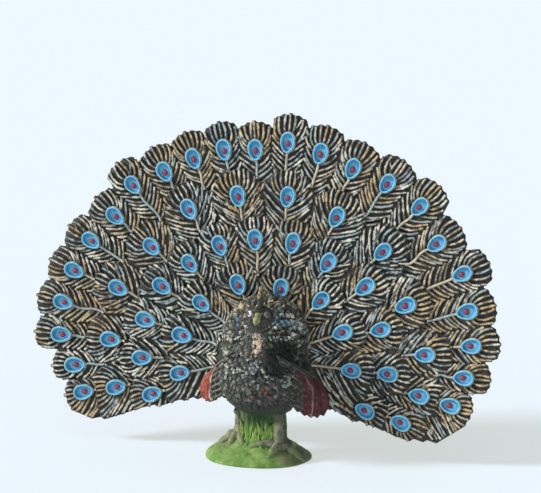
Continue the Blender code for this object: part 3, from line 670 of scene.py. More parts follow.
# Painted shadow cast by the head and neck on the right of the breast: near black, with the brushing
# kept off it.
neck_shadow = plumage.patch((0.006, -0.0058, 0.0207), (0.0034, 0.009, 0.0036), 0.3)
peach = plumage.patch((0.0019, -0.0076, 0.0238), (0.001, 0.004, 0.0022)) * brushed.rise(0.3, 0.5)
dark = plumage.layers(
    plumage.blend(broad, (0.014, 0.02, 0.02), (0.04, 0.044, 0.036)),
    (low * 0.5, (0.046, 0.044, 0.036)))
DAB_COLOURS = (
    # cream, orange, teal, sky blue, pale blue grey, rose
    (0.64, 0.51, 0.35), (0.46, 0.29, 0.18), (0.13, 0.28, 0.27),
    (0.13, 0.3, 0.42), (0.28, 0.35, 0.35), (0.25, 0.11, 0.08),
)
pale = plumage.layers(
    plumage.blend(tone ** 2, (0.22, 0.24, 0.225), (0.86, 0.8, 0.64)),
    (tone.rise(0.9, 0.97) * 0.6, (0.16, 0.33, 0.34)),
    ((1 - tone).rise(0.86, 0.96) * 0.6, (0.4, 0.2, 0.14)),
    (plumage.z.rise(0.0245, 0.029) * 0.55, (0.54, 0.42, 0.25)),
    (cheek * 0.5, (0.86, 0.86, 0.8)),
    *[(1 - abs(dab - k).rise(0.3, 0.4), paint) for k, paint in enumerate(DAB_COLOURS, 1)],
    (peach, (0.9, 0.7, 0.5)))
rub = (tip + (brushed - 0.5) * 0.7).rise(0.4, 0.84) * (0.34 + 0.66 * tone.rise(0.1, 0.8))
rub = rub.most((streaks + brushed * 0.4).rise(0.8, 1.2) * 0.5)
# Brushing paler on the left and dimmer on the right: painted light from the left. It also thins
# lower down.
rub = rub * (0.4 + 0.6 * sweep.rise(0.2, 0.65)) * (0.66 + 0.34 * left) * (1 - low * 0.38)
lit = cheek * (tip + brushed * 0.5).rise(0.5, 0.95) * (0.25 + 0.75 * tone.rise(0.35, 0.75))
dabbed = dab.rise(0.5, 0.6) * (tip + brushed * 0.6).rise(0.5, 0.95) * 0.8
# No brushing on the lowest belly, which stays near black: painted shade under the body.
rub = rub.most(lit, dabbed) * plumage.z.rise(0.011, 0.0156)
rub = rub.most(peach * 0.85) * (1 - neck_shadow * 0.95)
colour = plumage.layers(plumage.blend(rub, dark, pale), (neck_shadow * 0.6, (0.008, 0.012, 0.01)))
plumage.coat(colour, 0.6 - rub * 0.08, brushed + streaks, 0.00009)

body = skin(rings_of(range(BODY_RINGS + 1), BODY_SIDES, body_spot))
place(mesh_of("body", *body), plumage, *BIRD)

# Mantle: the shield of back feathers that stands up behind the head, moulded with the bird.
# It has the bird's own paint, and the small feathers cover it too.

MANTLE_WIDTH = 0.0166
MANTLE_TOP = 0.0303
MANTLE_FOOT = 0.0085
MANTLE_BULGE = 0.0046
MANTLE_RINGS = 30
MANTLE_SIDES = 84
MANTLE_LUMPS = (0.0014, 0.00022, 7.0)
MANTLE_LOW = SHOULDER_HEIGHT - MANTLE_FOOT
MANTLE_MIDDLE = (MANTLE_LOW + MANTLE_TOP) / 2


def mantle_point(share, a):
    """Point on the front of the shield: share from its middle to its rim, a round it from above."""
    height = (MANTLE_TOP - MANTLE_LOW) / 2
    level = pi / 2 * share
    size = Vector((MANTLE_WIDTH / 2, MANTLE_BULGE, height))
    flat = Vector((sin(level) * sin(a), -cos(level), sin(level) * cos(a)))
    point = Vector((size.x * flat.x, size.y * flat.y, size.z * flat.z))
    facing = Vector((flat.x / size.x, flat.y / size.y, flat.z / size.z)).normalized()
    lean = Matrix.Rotation(-FAN_LEAN, 3, "X")
    middle = Vector((BIRD_SHIFT * 0.6, fan_front_y(MANTLE_MIDDLE), MANTLE_MIDDLE))
    return lean @ point + middle, lean @ facing


def mantle_spot(k, a):
    point, facing = mantle_point(k / MANTLE_RINGS, a)
    if k < MANTLE_RINGS:
        point += facing * uneven(point, *MANTLE_LUMPS)
    point.y = min(point.y, fan_front_y(point.z))
    return point


mantle = skin(rings_of(range(1, MANTLE_RINGS + 1), MANTLE_SIDES, mantle_spot))
place(mesh_of("mantle", *mantle), plumage, *BIRD)

# Small feathers: they lie like scales on breast, flanks, neck and mantle, each with a rounded,
# rubbed tip. Here and there a dab of colour covers a few of them.

BREAST_FEATHER = 0.00116
NECK_FEATHER = 0.00088
FEATHER_SINK = 0.00012
FACE_REACH = 0.0042
SIGHT = Vector((0.00165, -0.00175, 0.0007))
SIGHT_ROOM = 0.0013
SHIELD_ROWS = 14
SHIELD_PITCH = 0.00074
SHIELD_FEATHERS = (0.00095, 0.0014)
DAB_CHANCE = 0.85


def scale_mesh(key="tip"):
    """Rounded little feather, 1 long along Y and standing off the skin at its tip."""
    points, tips, faces = [], [], []
    for r, half in enumerate((0.2, 0.34, 0.37, 0.17)):
        t = r / 3
        for c in (-1, 0, 1):
            lift = 0.05 + 0.13 * t + 0.1 * (1 - abs(c))
            points.append(Vector((half * c, t - 0.14 * abs(c) * t, lift)))
            tips.append(t)
    for k in (0, 1, 3, 4, 6, 7):
        faces.append((k, k + 1, k + 4, k + 3))
    rim = [0, 1, 2, 5, 8, 11, 10, 9, 6, 3]
    start = len(points)
    for k in rim:
        points.append(Vector((points[k].x * 0.92, points[k].y * 0.95, -0.14 + 0.16 * tips[k])))
        tips.append(tips[k] * 0.2)
    for i in range(len(rim)):
        j = (i + 1) % len(rim)
        faces.append((rim[j], rim[i], start + i, start + j))
    faces.append(list(range(start, start + len(rim))))
    return mesh_of("scale_pattern", points, faces, **{key: tips})


DABS = (
    # across, depth, height, reach, number of its colour
    (0.0020, -0.0070, 0.0248, 0.0010, 1), (0.0019, -0.0075, 0.0237, 0.0011, 1),
    (0.0011, -0.0080, 0.0229, 0.0009, 1), (0.0009, -0.0085, 0.0218, 0.0008, 2),
    (0.0016, -0.0088, 0.0210, 0.0009, 5), (0.0015, -0.0090, 0.0196, 0.0008, 5),
    (0.0029, 0.0008, 0.0272, 0.0009, 3), (0.0039, 0.0005, 0.0261, 0.0012, 4),
    (0.0035, 0.0000, 0.0243, 0.0005, 2), (0.0058, 0.0005, 0.0252, 0.0009, 5),
    (-0.0040, 0.0005, 0.0251, 0.0006, 4), (-0.0040, 0.0010, 0.0276, 0.0008, 1),
    (0.0068, -0.0060, 0.0167, 0.0010, 5), (0.0036, -0.0085, 0.0160, 0.0007, 6),
    (0.0044, -0.0085, 0.0150, 0.0006, 6), (0.0053, -0.0080, 0.0139, 0.0006, 6),
    (0.0013, -0.0090, 0.0148, 0.0006, 6),
)


def scale_spots():
    rng = random.Random(7)
    entries = []

    def add(point, facing, aim, size):
        if point.y < fan_front_y(point.z) - 0.0004:
            aim = (aim - facing * aim.dot(facing)).normalized()
            dab = 0
            for x, y, z, reach, number in DABS:
                away = Vector((point.x - x, (point.y - y) * 0.3, point.z - z))
                if away.length < reach and rng.random() < DAB_CHANCE:
                    dab = number
            entries.append((point - facing * FEATHER_SINK, facing, aim, size, rng.random(), dab))

    z, row = BELLY_HEIGHT + 0.0022, 0
    while z < HEAD_HEIGHT + CROWN * 0.8:
        neck = smooth(z, SHOULDER_HEIGHT, SHOULDER_HEIGHT + 0.0028)
        size = mix(BREAST_FEATHER, NECK_FEATHER, neck)
        middle, wide, deep = body_section(z)
        count = int(pi * (wide + deep) / (size * 0.56))
        for i in range(count):
            a = 2 * pi * (i + 0.5 * (row % 2) + rng.uniform(-0.35, 0.35)) / count
            point, facing = body_point(z + rng.uniform(-0.0003, 0.0003), a)
            away = point - HEAD
            face = away.length < FACE_REACH and facing.y < -0.55 and z > HEAD_HEIGHT - 0.0022
            face = face or (Vector((abs(away.x), away.y, away.z)) - SIGHT).length < SIGHT_ROOM
            aside = (point.x - middle.x) / (BODY_WIDTH / 2)
            aim = Vector((aside * 1.2 + rng.uniform(-0.45, 0.45), 0, -1))
            if not face and rng.random() > 0.06:
                add(point, facing, aim, size * rng.uniform(0.75, 1.25))
        z += size * 0.62
        row += 1
    for ring in range(1, SHIELD_ROWS + 1):
        share = ring / (SHIELD_ROWS + 0.6)
        around = pi * 2 * sin(pi / 2 * share) * MANTLE_WIDTH * 0.53
        count = max(5, int(around / SHIELD_PITCH))
        for i in range(count):
            a = 2 * pi * (i + 0.5 * (ring % 2) + rng.uniform(-0.3, 0.3)) / count
            point, facing = mantle_point(share, a)
            if point.z >= SHOULDER_HEIGHT - 0.002:
                ahead = mantle_point(min(1.0, share + 0.03), a)[0] - point
                aside = facing.cross(ahead) * rng.uniform(-0.5, 0.5)
                size = rng.uniform(*SHIELD_FEATHERS) * (1 + 0.35 * share ** 3)
                add(point, facing, ahead + aside, size)
    return entries


scales = repeat("small_feathers", scale_mesh(), scale_spots(), ("tone", "dab"), plumage)
place(scales, plumage, *BIRD)

# Wings: each droops beside the body, with barred grey coverts and then long rust red flight
# feathers with pale shafts. One curved panel each, moulded with the bird.

WING_REACH = 0.0121
WING_THICK = 0.0015
WING_TOP = 0.0215
WING_DROP = 0.0109
WING_SAG = 0.0018
WING_FEATHERS = 6
WING_ROWS = 46
FEATHER_COLUMNS = 12
WING_TEETH = {-1: 0.0003, 1: 0.0004}
FEATHER_RIDGE = 0.00012
FEATHER_QUILL = 0.0001
FEATHER_BARBS = 0.00006
COVERT_BARS = 0.00016


def wing_point(side, s, t, tooth):
    """Middle of the wing panel: s outward from the body, t down from the shoulder."""
    drop = WING_DROP + (WING_SAG if side > 0 else 0.0)
    length = drop * (0.62 + 0.4 * sin(pi * (0.08 + 0.55 * s)) - 0.1 * s)
    z = WING_TOP - 0.0052 * s - (length - tooth - 0.004 * s) * t
    out = mix(BODY_WIDTH * 0.36, WING_REACH, s ** 0.8)
    out *= 0.6 + 0.4 * sin(pi * (0.16 + 0.42 * t))
    out += 0.002 * s * t * (1 - t)
    y = mix(-BODY_FORWARD * 2.1, fan_front_y(z) - WING_THICK * 0.9, s ** 1.15) + 0.001 * t
    facing = Vector((side * (0.35 + 0.4 * s), -0.85 + 0.1 * s, 0.0)).normalized()
    return Vector((BIRD_SHIFT + side * out, y, z)), facing


def panel_faces(columns, rows):
    """Faces of a thin panel: a grid of points in front, then one behind, walled all round."""
    total = rows * columns
    faces = []
    for r in range(rows - 1):
        for c in range(columns - 1):
            k = r * columns + c
            faces.append((k, k + 1, k + columns + 1, k + columns))
            faces.append((total + k + columns, total + k + columns + 1, total + k + 1, total + k))
    border = list(range(columns)) + [r * columns + columns - 1 for r in range(1, rows)]
    border += [(rows - 1) * columns + c for c in range(columns - 2, -1, -1)]
    border += [r * columns for r in range(rows - 2, 0, -1)]
    return faces + [(j, i, total + i, total + j) for i, j in zip(border, border[1:] + border[:1])]


def wing_mesh(side):
    columns = WING_FEATHERS * FEATHER_COLUMNS + 1
    front, back, across, down = [], [], [], []
    for r in range(WING_ROWS):
        t = r / (WING_ROWS - 1)
        for c in range(columns):
            s = c / (columns - 1)
            feather = s * WING_FEATHERS
            part = abs(feather - round(feather)) * 2
            tooth = WING_TEETH[side] * (1 - part)
            middle, facing = wing_point(side, s, t, tooth * smooth(t, 0.5, 1.0))
            stiff = exp(-(abs(feather % 1 - 0.5) / 0.07) ** 2)
            ridge = FEATHER_RIDGE * cos(2 * pi * feather + pi) * min(1.0, 2 * t)
            ridge += FEATHER_QUILL * stiff * smooth(t, 0.1, 0.4)
            barbs = FEATHER_BARBS * sin(150 * t + 14 * part) * smooth(t, 0.15, 0.3)
            bars = COVERT_BARS * sin(44 * t - 2.2 * part + 3 * sin(5 * s))
            bars *= 1 - smooth(s, 0.4, 0.55)
            thick = WING_THICK * (1.0 - 0.45 * t)
            front.append(middle + facing * (thick / 2 + ridge + barbs + bars))
            back.append(middle - facing * thick / 2)
            across.append(s)
            down.append(t)
    faces = panel_faces(columns, WING_ROWS)
    return mesh_of("wing", front + back, faces, across=across * 2, down=down * 2)


wing_paint = Paint("wing_paint", specular=0.35)
across = wing_paint.number("across")
down = wing_paint.number("down")
grain = wing_paint.cloud(0.0008, 5.0, 0.65)
soft = wing_paint.cloud(0.003, 2.0)
part = abs(wing_paint.sum("FRACT", across * WING_FEATHERS) - 0.5)
in_sun = 1 - wing_paint.x.rise(-0.004, 0.003)
bend = wing_paint.sum("SINE", across * 5) * 3 - part * 4.4
barring = wing_paint.sum("SINE", down * 44 + bend + soft * 3 + grain * 2)
wander = (soft - 0.5) * 0.07 + wing_paint.sum("SINE", down * 13) * 0.016
away = abs(across + wander - 0.6 + in_sun * 0.1)
shaft = (1 - away.rise(0.012, 0.03)) * down.rise(0.1, 0.25) * (0.3 + 0.7 * in_sun)
outer = (across + wander - 0.38 - in_sun * 0.1).rise(0.0, 0.04) * down.rise(0.06, 0.2)
bars = wing_paint.blend(soft, (0.33, 0.33, 0.27), (0.44, 0.33, 0.24))
sunny = wing_paint.blend(grain.rise(0.35, 0.65), (0.23, 0.04, 0.026), (0.47, 0.125, 0.068))
grey = wing_paint.layers(
    wing_paint.blend(soft, (0.022, 0.026, 0.024), (0.06, 0.062, 0.05)),
    (barring.rise(0.1, 0.8) * (0.25 + 0.6 * grain) * (0.35 + 0.65 * in_sun), bars))
rust = wing_paint.layers(
    wing_paint.blend(soft, (0.055, 0.012, 0.015), (0.1, 0.022, 0.026)),
    (in_sun * 0.85, sunny),
    (grain.rise(0.5, 0.95) * 0.4, (0.34, 0.15, 0.13)),
    (part.rise(0.42, 0.5) * 0.6, (0.05, 0.016, 0.016)),
    (shaft * (0.5 + 0.5 * grain.rise(0.1, 0.5)), (0.78, 0.62, 0.54)))
colour = wing_paint.blend(outer, grey, rust)
wing_paint.coat(colour, 0.58, grain, 0.00006)
place(join("wings", [wing_mesh(-1), wing_mesh(1)]), wing_paint, *BIRD)

# Head: beak, the bird's own eyes and the crest, moulded with it and painted last. The eye on the
# bird's left is nearly lost in dark paint.

BEAK_LENGTH = 0.0021
BEAK_RADIUS = 0.001
EYE_BALL = 0.00062
PUPIL = 0.00032
PUPIL_OUT = 0.00024
CREST_HEIGHT = 0.0042
CREST_WIDTH = 0.0046
CREST_THICK = 0.0006
CREST_FOOT = 0.0014
CREST_SINK = 0.0008
CREST_FEATHERS = 7


def beak_mesh():
    start = Vector((HEAD.x, HEAD.y - HEAD_LENGTH * 0.36, HEAD_HEIGHT + BEAK_RADIUS * 0.24))
    aim = Vector((0, -1, -0.42)).normalized()
    reach = BEAK_LENGTH * 0.72 + HEAD_LENGTH * 0.14
    path = [start + aim * reach * k for k in (0.0, 0.45, 0.8, 1.0)]
    path[3] += Vector((0, BEAK_RADIUS * 0.08, -BEAK_RADIUS * 0.24))
    radii = [BEAK_RADIUS * k for k in (0.92, 0.76, 0.5, 0.22)]
    points, faces = limb(path, radii, 20, 0.00004, 0.5)
    for p in points:
        p.x += (HEAD.x - p.x) * 0.12
    return mesh_of("beak", points, faces)


def ball(centre, facing, size, flat, level):
    """Flattened ball set into the head."""
    turn = facing.to_track_quat("Z", "Y").to_matrix()

    def spot(k, a):
        b = pi * k / 10
        return centre + turn @ Vector((sin(b) * cos(a), sin(b) * sin(a), cos(b) * flat)) * size

    points, faces = skin(rings_of(range(1, 10), 20, spot))
    return mesh_of("ball", points, faces, level=[level] * len(points))


beak_paint = Paint("beak_paint", specular=0.4)
mottle = beak_paint.cloud(0.0009, 3.0)
colour = beak_paint.blend(mottle, (0.18, 0.19, 0.075), (0.42, 0.41, 0.2))
beak_paint.coat(colour, 0.5, mottle, 0.00004)
place(beak_mesh(), beak_paint, *BIRD)

balls = []
for side, white, pupil in ((-1, 0.0, 0.7), (1, 0.32, 1.0)):
    out = Vector((side * 0.66, -0.72, 0.22)).normalized()
    spot = HEAD + Vector((side * SIGHT.x, SIGHT.y, SIGHT.z))
    balls.append(ball(spot, out, EYE_BALL, 0.55, white))
    balls.append(ball(spot + out * PUPIL_OUT, out, PUPIL, 0.7, pupil))
sight_paint = Paint("bird_eye_paint", specular=0.6)
level = sight_paint.number("level")
wear = sight_paint.cloud(0.0006)
colour = sight_paint.layers(
    sight_paint.blend(wear, (0.62, 0.63, 0.6), (0.8, 0.8, 0.76)),
    (level.rise(0.1, 0.3), (0.16, 0.14, 0.095)),
    (level.rise(0.4, 0.6), (0.055, 0.085, 0.13)),
    (level.rise(0.8, 0.95), (0.03, 0.03, 0.026)))
sight_paint.coat(colour, 0.32 + wear * 0.1)
place(join("bird_eyes", balls), sight_paint, *BIRD)


def crest_meshes():
    foot = Vector((HEAD.x, -BODY_FORWARD * 1.45, HEAD_HEIGHT + CROWN - CREST_SINK))
    made = []
    for k in range(CREST_FEATHERS):
        a = radians(mix(44, -44, k / (CREST_FEATHERS - 1)))
        long = CREST_HEIGHT + CREST_SINK - (0.0003 if k % 2 else 0.0001)
        tip = foot + Vector((0, sin(a) * CREST_WIDTH * 0.68, cos(a) * long))
        start = foot + Vector((0, sin(a) * CREST_FOOT / 2, 0))
        path = [mix(start, tip, t) for t in (0.0, 0.35, 0.62, 0.84, 1.0)]
        radii = [CREST_THICK * g for g in (0.36, 0.28, 0.36, 0.46, 0.2)]
        points, faces = limb(path, radii, 10, 0.00005, k)
        level = [smooth((p - start).length / (tip - start).length, 0.5, 0.95) for p in points]
        made.append(mesh_of("crest_feather", points, faces, tip=level))
    return made


crest_paint = Paint("crest_paint", specular=0.35)
wear = crest_paint.cloud(0.0007, 4.0)
colour = crest_paint.layers(
    crest_paint.blend(wear, (0.03, 0.036, 0.032), (0.12, 0.11, 0.08)),
    (crest_paint.number("tip") * wear.rise(0.25, 0.75), (0.56, 0.42, 0.21)))
crest_paint.coat(colour, 0.56, wear, 0.00005)
place(join("crest", crest_meshes()), crest_paint, *BIRD)


# Tail plate: 57 long eye feathers in four rows, moulded as one slightly dished plate that leans
# back and is glued to the rump. Its ground is nearly black; the rows lap like shingles.

PLATE = 0.0011
PLATE_SIDES = 960
PLATE_CORE = 0.0015
PLATE_INSET = 0.00014
CUP_ROOM = 0.0004
RIM_STEPS = 1440
RIM_THICK = 0.001
RECESS = 0.00024
DISH = 0.0012
SHINGLE = 0.0005
STEP_RUN = 0.00018
PAD_RADIUS = 0.0085
PAD_SLOPE = 0.0022
LOBE_HALF = 0.0038
NOTCH = 0.00035
ROUNDING = 0.0011
HEM_ANGLE = radians(111.5)
HEM_INSET = 0.0036
HEM_MIDDLE = 0.0077
HEM_FLAT = 0.01
HEM_TOOTH = 0.0008
HEM_ROOM = 0.0021
HEM_PITCH = 0.0026
END_ANGLE = 88.0
END_SPAN = 16.0
END_LOSS = 0.0038
END_TIP_LOSS = 0.0016
EYE_LENGTH = 0.0038
EYE_WIDTH = 0.00265
EYE_TAPER = 0.16
EYE_FOOT = 0.00024
Row = namedtuple("Row", "count reach tip cleft loose first last waves swell sink seed")
ROWS = (
    Row(8, 0.0166, 0.0046, 0.0030, 0.0006, -103.0, 94.0,
        (-1.3, -5.1, 0.4, 0.9), 0.0, 0.0026, 2560),
    Row(13, 0.0233, 0.0046, 0.0026, 0.0016, -110.5, 113.3,
        (-7.6, 0.3, 1.0, -0.2), 0.0, 0.0, 53240),
    Row(13, 0.0307, 0.0052, 0.0034, 0.0018, -104.1, 111.0,
        (5.0, -4.2, 2.5, -1.6), 0.0, 0.0, 10123),
    Row(23, 0.0401, 0.0057, 0.0017, 0.0013, -103.6, 100.2,
        (-2.6, -1.0, 0.7, -1.2), 0.0013, 0.0, 13514),
)
Feather = namedtuple("Feather", "angle reach")
FAN_PLACE = (Matrix.Translation((0, FAN_ROOT_BACK, FAN_ROOT_HEIGHT))
             @ Matrix.Rotation(pi / 2 - FAN_LEAN, 4, "X"))


def ways(angle):
    """Unit steps out along a feather and across it."""
    out = polar(angle, 1.0)
    return out, Vector((out.y, -out.x, 0))


def angle_of(point):
    return atan2(point.x, point.y)


def place_on_fan(mesh, paint, behind=False):
    """Lean a mesh drawn flat into the fan; one drawn from behind is turned over first."""
    if behind:
        mesh.transform(Matrix.Diagonal((1, 1, -1, 1)))
        mesh.flip_normals()
    mesh.transform(FAN_PLACE)
    place(mesh, paint, "tail_fan", "painted_tail")


def past_end(angle):
    return max(0.0, abs(degrees(angle)) - END_ANGLE) / END_SPAN


def row_feathers(row):
    """Angle and reach of every feather in a row, left to right."""
    rng = random.Random(row.seed)
    feathers = []
    for i in range(row.count):
        t = i / (row.count - 1)
        angle = mix(row.first, row.last, t)
        for k, wave in enumerate(row.waves):
            angle += wave * sin((k + 1) * pi * t)
        a = radians(angle)
        reach = row.reach + row.swell * sin(2 * abs(a)) - row.sink * cos(a) ** 2
        if row is ROWS[-1]:
            reach -= END_LOSS * past_end(a)
        feathers.append(Feather(a, reach + rng.uniform(-row.loose, row.loose)))
    return feathers


def feather_top(row, feather):
    loss = END_TIP_LOSS * past_end(feather.angle) if row is ROWS[-1] else 0.0
    return feather.reach + row.tip - loss


def row_edge(row, feathers):
    """Edge of a row as (angle, radius), barb tips and clefts from left to right."""
    edge = []
    for i, feather in enumerate(feathers):
        free = LOBE_HALF / (feather.reach + row.tip * 0.7)
        left = min(free, (feather.angle - feathers[i - 1].angle) / 2) if i else free
        last = i + 1 == len(feathers)
        right = free if last else min(free, (feathers[i + 1].angle - feather.angle) / 2)
        top = feather_top(row, feather)
        for k in range(-4, 5):
            f = k / 5
            radius = top - ROUNDING * f * f - (NOTCH if k % 2 else 0.0)
            edge.append((feather.angle + f * (left if f < 0 else right), radius))
        if not last:
            middle = (feather.angle + feathers[i + 1].angle) / 2
            edge.append((middle, min(top, feather_top(row, feathers[i + 1])) - row.cleft))
    return edge


def edge_radius(edge, angle):
    if angle <= edge[0][0]:
        return edge[0][1]
    for (a0, r0), (a1, r1) in zip(edge, edge[1:]):
        if angle <= a1:
            return mix(r0, r1, (angle - a0) / (a1 - a0))
    return edge[-1][1]


def keep_off_eyes(edge, feathers):
    """Draw barb tips back where they would cover an eye of the next row out."""
    room = EYE_FOOT + STEP_RUN + 0.0002
    cleared = []
    for angle, radius in edge:
        for feather in feathers:
            away = polar(angle, radius) - polar(feather.angle, feather.reach)
            aside = abs(away.x * cos(feather.angle) - away.y * sin(feather.angle))
            if aside < EYE_WIDTH / 2 + room and abs(angle - feather.angle) < 0.5:
                radius = min(radius, feather.reach - EYE_LENGTH / 2 - room)
        cleared.append((angle, radius))
    return cleared


def hem(side, rows):
    """Toothed lower edge from the corner to the middle, root at the origin."""
    corner = polar(HEM_ANGLE, ROWS[-1].reach - HEM_INSET)
    rise, power = (0.004, 0.6) if side < 0 else (0.0065, 0.85)
    start = corner.x - rise
    teeth = int(round(corner.x / HEM_PITCH))
    eyes = [polar(f.angle, f.reach) for feathers in rows[:-1] for f in feathers]
    points = []
    for k in range(2 * teeth):
        x = corner.x * (1 - k / (2 * teeth))
        t = min(1.0, max(0.0, (start - x) / (start - HEM_FLAT)))
        low = mix(corner.y, -HEM_MIDDLE, t ** power)
        for eye in eyes:
            aside = (side * x - eye.x) / LOBE_HALF
            if abs(aside) < 1:
                low = min(low, eye.y - HEM_ROOM * sqrt(1 - aside * aside))
        points.append(Vector((side * x, low + HEM_TOOTH * (0.3 if k % 2 else -0.7), 0)))
    return points


rows = [row_feathers(row) for row in ROWS]
edges = [row_edge(row, feathers) for row, feathers in zip(ROWS, rows)]
edges = [keep_off_eyes(edge, after) for edge, after in zip(edges, rows[1:])] + [edges[-1]]
outline = list(reversed(hem(-1, rows))) + [polar(a, r) for a, r in edges[-1]]
outline += hem(1, rows) + [Vector((0, -HEM_MIDDLE, 0))]


def rim_radius(angle):
    """Distance from the root to the plate's outline along an angle."""
    away = polar(angle, 1.0)
    found = 0.0
    for a, b in zip(outline, outline[1:] + outline[:1]):
        side_a = away.x * a.y - away.y * a.x
        side_b = away.x * b.y - away.y * b.x
        if (side_a > 0) != (side_b > 0):
            meet = mix(a, b, side_a / (side_a - side_b))
            found = max(found, meet.dot(away))
    return found


RIM = [rim_radius(a - pi) for a in angles(RIM_STEPS)]


def near_rim(angle):
    k = (angle + pi) / (2 * pi) * RIM_STEPS
    low = int(k) % RIM_STEPS
    return mix(RIM[low], RIM[(low + 1) % RIM_STEPS], k - int(k))


def dish(radius):
    return DISH * (radius / (ROWS[-1].reach + ROWS[-1].tip)) ** 2 - DISH / 2


def front_height(point):
    """How far the ground between the barbs stands forward of the fan's own plane."""
    radius = point.length
    inside = PAD_RADIUS + PAD_SLOPE
    if radius < inside:
        slope = max(0.0, radius - PAD_RADIUS) / PAD_SLOPE
        return mix(PAD_HEIGHT, dish(inside), slope)
    for edge in edges:
        outside = edge_radius(edge, angle_of(point))
        if radius <= outside + STEP_RUN / 2:
            share = (radius - inside) / max(outside - inside, 1e-6)
            return dish(radius) + SHINGLE * min(1.0, max(0.0, share)) - RECESS
        inside = outside
    return dish(radius) + SHINGLE - RECESS


every_feather = [feather for feathers in rows for feather in feathers]
eye_tree = kdtree.KDTree(len(every_feather))
for k, feather in enumerate(every_feather):
    eye_tree.insert(polar(feather.angle, feather.reach), k)
eye_tree.balance()


def on_eye(point, room=0.0002):
    """Whether a point of the fan's plane lies on, or within some room of, the nearest eye."""
    centre, k, _ = eye_tree.find(at_height(point, 0))
    out = polar(every_feather[k].angle, 1.0)
    x, y = point.x - centre.x, point.y - centre.y
    aside, ahead = x * out.y - y * out.x, x * out.x + y * out.y
    return hypot(aside / (EYE_WIDTH / 2 + room), ahead / (EYE_LENGTH / 2 + room)) < 1


def plate_mesh():
    """Front and back of the plate in rings round the root, closed at the rim."""
    columns = []
    for turn in angles(PLATE_SIDES):
        a = turn - pi
        rim = near_rim(a) - PLATE_INSET
        stops = [(PLATE_CORE, 1), (PAD_RADIUS, 3), (PAD_RADIUS + PAD_SLOPE, 3)]
        for edge, cuts in zip(edges[:-1], (5, 5, 6)):
            stops += [(edge_radius(edge, a), cuts), (edge_radius(edge, a) + STEP_RUN, 1)]
        column, last = [], 0.0
        for radius, cuts in stops + [(rim, 8)]:
            radius = min(radius, rim)
            for k in range(cuts):
                p = polar(a, mix(last, radius, (k + 1) / cuts))
                under_cup = CUP_ROOM if on_eye(p, -0.0002) else 0.0
                column.append(at_height(p, front_height(p) - under_cup))
            last = radius
        top = column.pop().z
        wall = RIM_THICK - RECESS
        column += [at_height(p, top - down) for down in (0.00012, wall / 2, wall)]
        for k in range(1, 16):
            p = polar(a, mix(rim, PLATE_CORE, k / 15))
            column.append(at_height(p, mix(top - wall, dish(p.length) - PLATE, min(1.0, k / 3))))
        columns.append(column)
    return mesh_of("tail_plate", *skin([list(ring) for ring in zip(*columns)]))


ground = Paint("tail_ground_paint", specular=0.35)
mottle = ground.cloud(0.003, 4.0)
fine = ground.cloud(0.0007, 4.0)
colour = ground.layers(
    ground.blend(mottle, (0.024, 0.031, 0.035), (0.064, 0.056, 0.042)),
    (fine.rise(0.7, 1.0) * 0.25, (0.11, 0.1, 0.075)))
ground.coat(colour, 0.62, fine, 0.00005)
place_on_fan(plate_mesh(), ground)

# Barbs: raised strands in a herringbone from every shaft and round every eye, moulded with the
# plate. They were dry brushed, so only their crests took the cream, gold and blue grey paint.

BARB_PITCH = 0.0009
EYE_PITCH = 0.00112
BARB_WIDTH = 0.00035
BARB_RISE = 0.00029
BARB_SLANT = 50
SHORTEST = 0.0007
BARB_LIFT = 0.00006
BARB_ARCH = 0.00014
CROWN_LIFT = 0.0001
JOG = 0.00022
DRIFT = 0.00042
DRIFT_SIZE = 0.0031
RIM_ROOM = 0.00016
ROW_LAP = 0.0002
PAD_EDGE = PAD_RADIUS + 0.0004
OUTER_SHARE = 0.78
GAP_GRID = 0.00044
BARE = 0.0006
ODD_PITCH = 0.00075
ODD_LIFT = 0.00003
END_HALF = 0.0068
ROW_TUCK = 0.0012
TIP_OUT = 0.00008


def strand_tree():
    """Tree that sweeps a flattened round section along every drawn line."""
    tree = Recipe("strand", Width=BARB_WIDTH, Rise=BARB_RISE, Sides=6)
    lines = tree.step("GeometryNodeMeshToCurve", {}, {0: tree.given["Geometry"]})
    lines = tree.step("GeometryNodeSetCurveNormal", {"mode": "Z_UP"}, {0: lines})
    sockets = {0: lines, "Radius": tree.kept("thickness")}
    lines = tree.step("GeometryNodeSetCurveRadius", {}, sockets)
    sockets = {"Resolution": tree.given["Sides"], "Radius": 1.0}
    circle = tree.step("GeometryNodeCurvePrimitiveCircle", {}, sockets)
    circle = tree.step("GeometryNodeTransform", {}, {0: circle, "Rotation": (0, 0, pi / 2)})
    where = tree.step("GeometryNodeInputPosition", {}, {})
    level = tree.step("ShaderNodeSeparateXYZ", {}, {0: where}, "Y")
    crest = tree.step("ShaderNodeMath", {"operation": "MULTIPLY"}, {0: level, 1: -1.0})
    settings = {"data_type": "FLOAT", "domain": "POINT"}
    sockets = {0: circle, "Name": "crest", "Value": crest}
    circle = tree.step("GeometryNodeStoreNamedAttribute", settings, sockets)
    sockets = {0: tree.given["Width"], 1: tree.given["Rise"], 2: 1.0}
    size = tree.step("ShaderNodeCombineXYZ", {}, sockets)
    profile = tree.step("GeometryNodeTransform", {}, {0: circle, "Scale": size})
    sockets = {"Curve": lines, "Profile Curve": profile, "Fill Caps": True}
    tree.end(tree.step("GeometryNodeCurveToMesh", {}, sockets))
    return tree


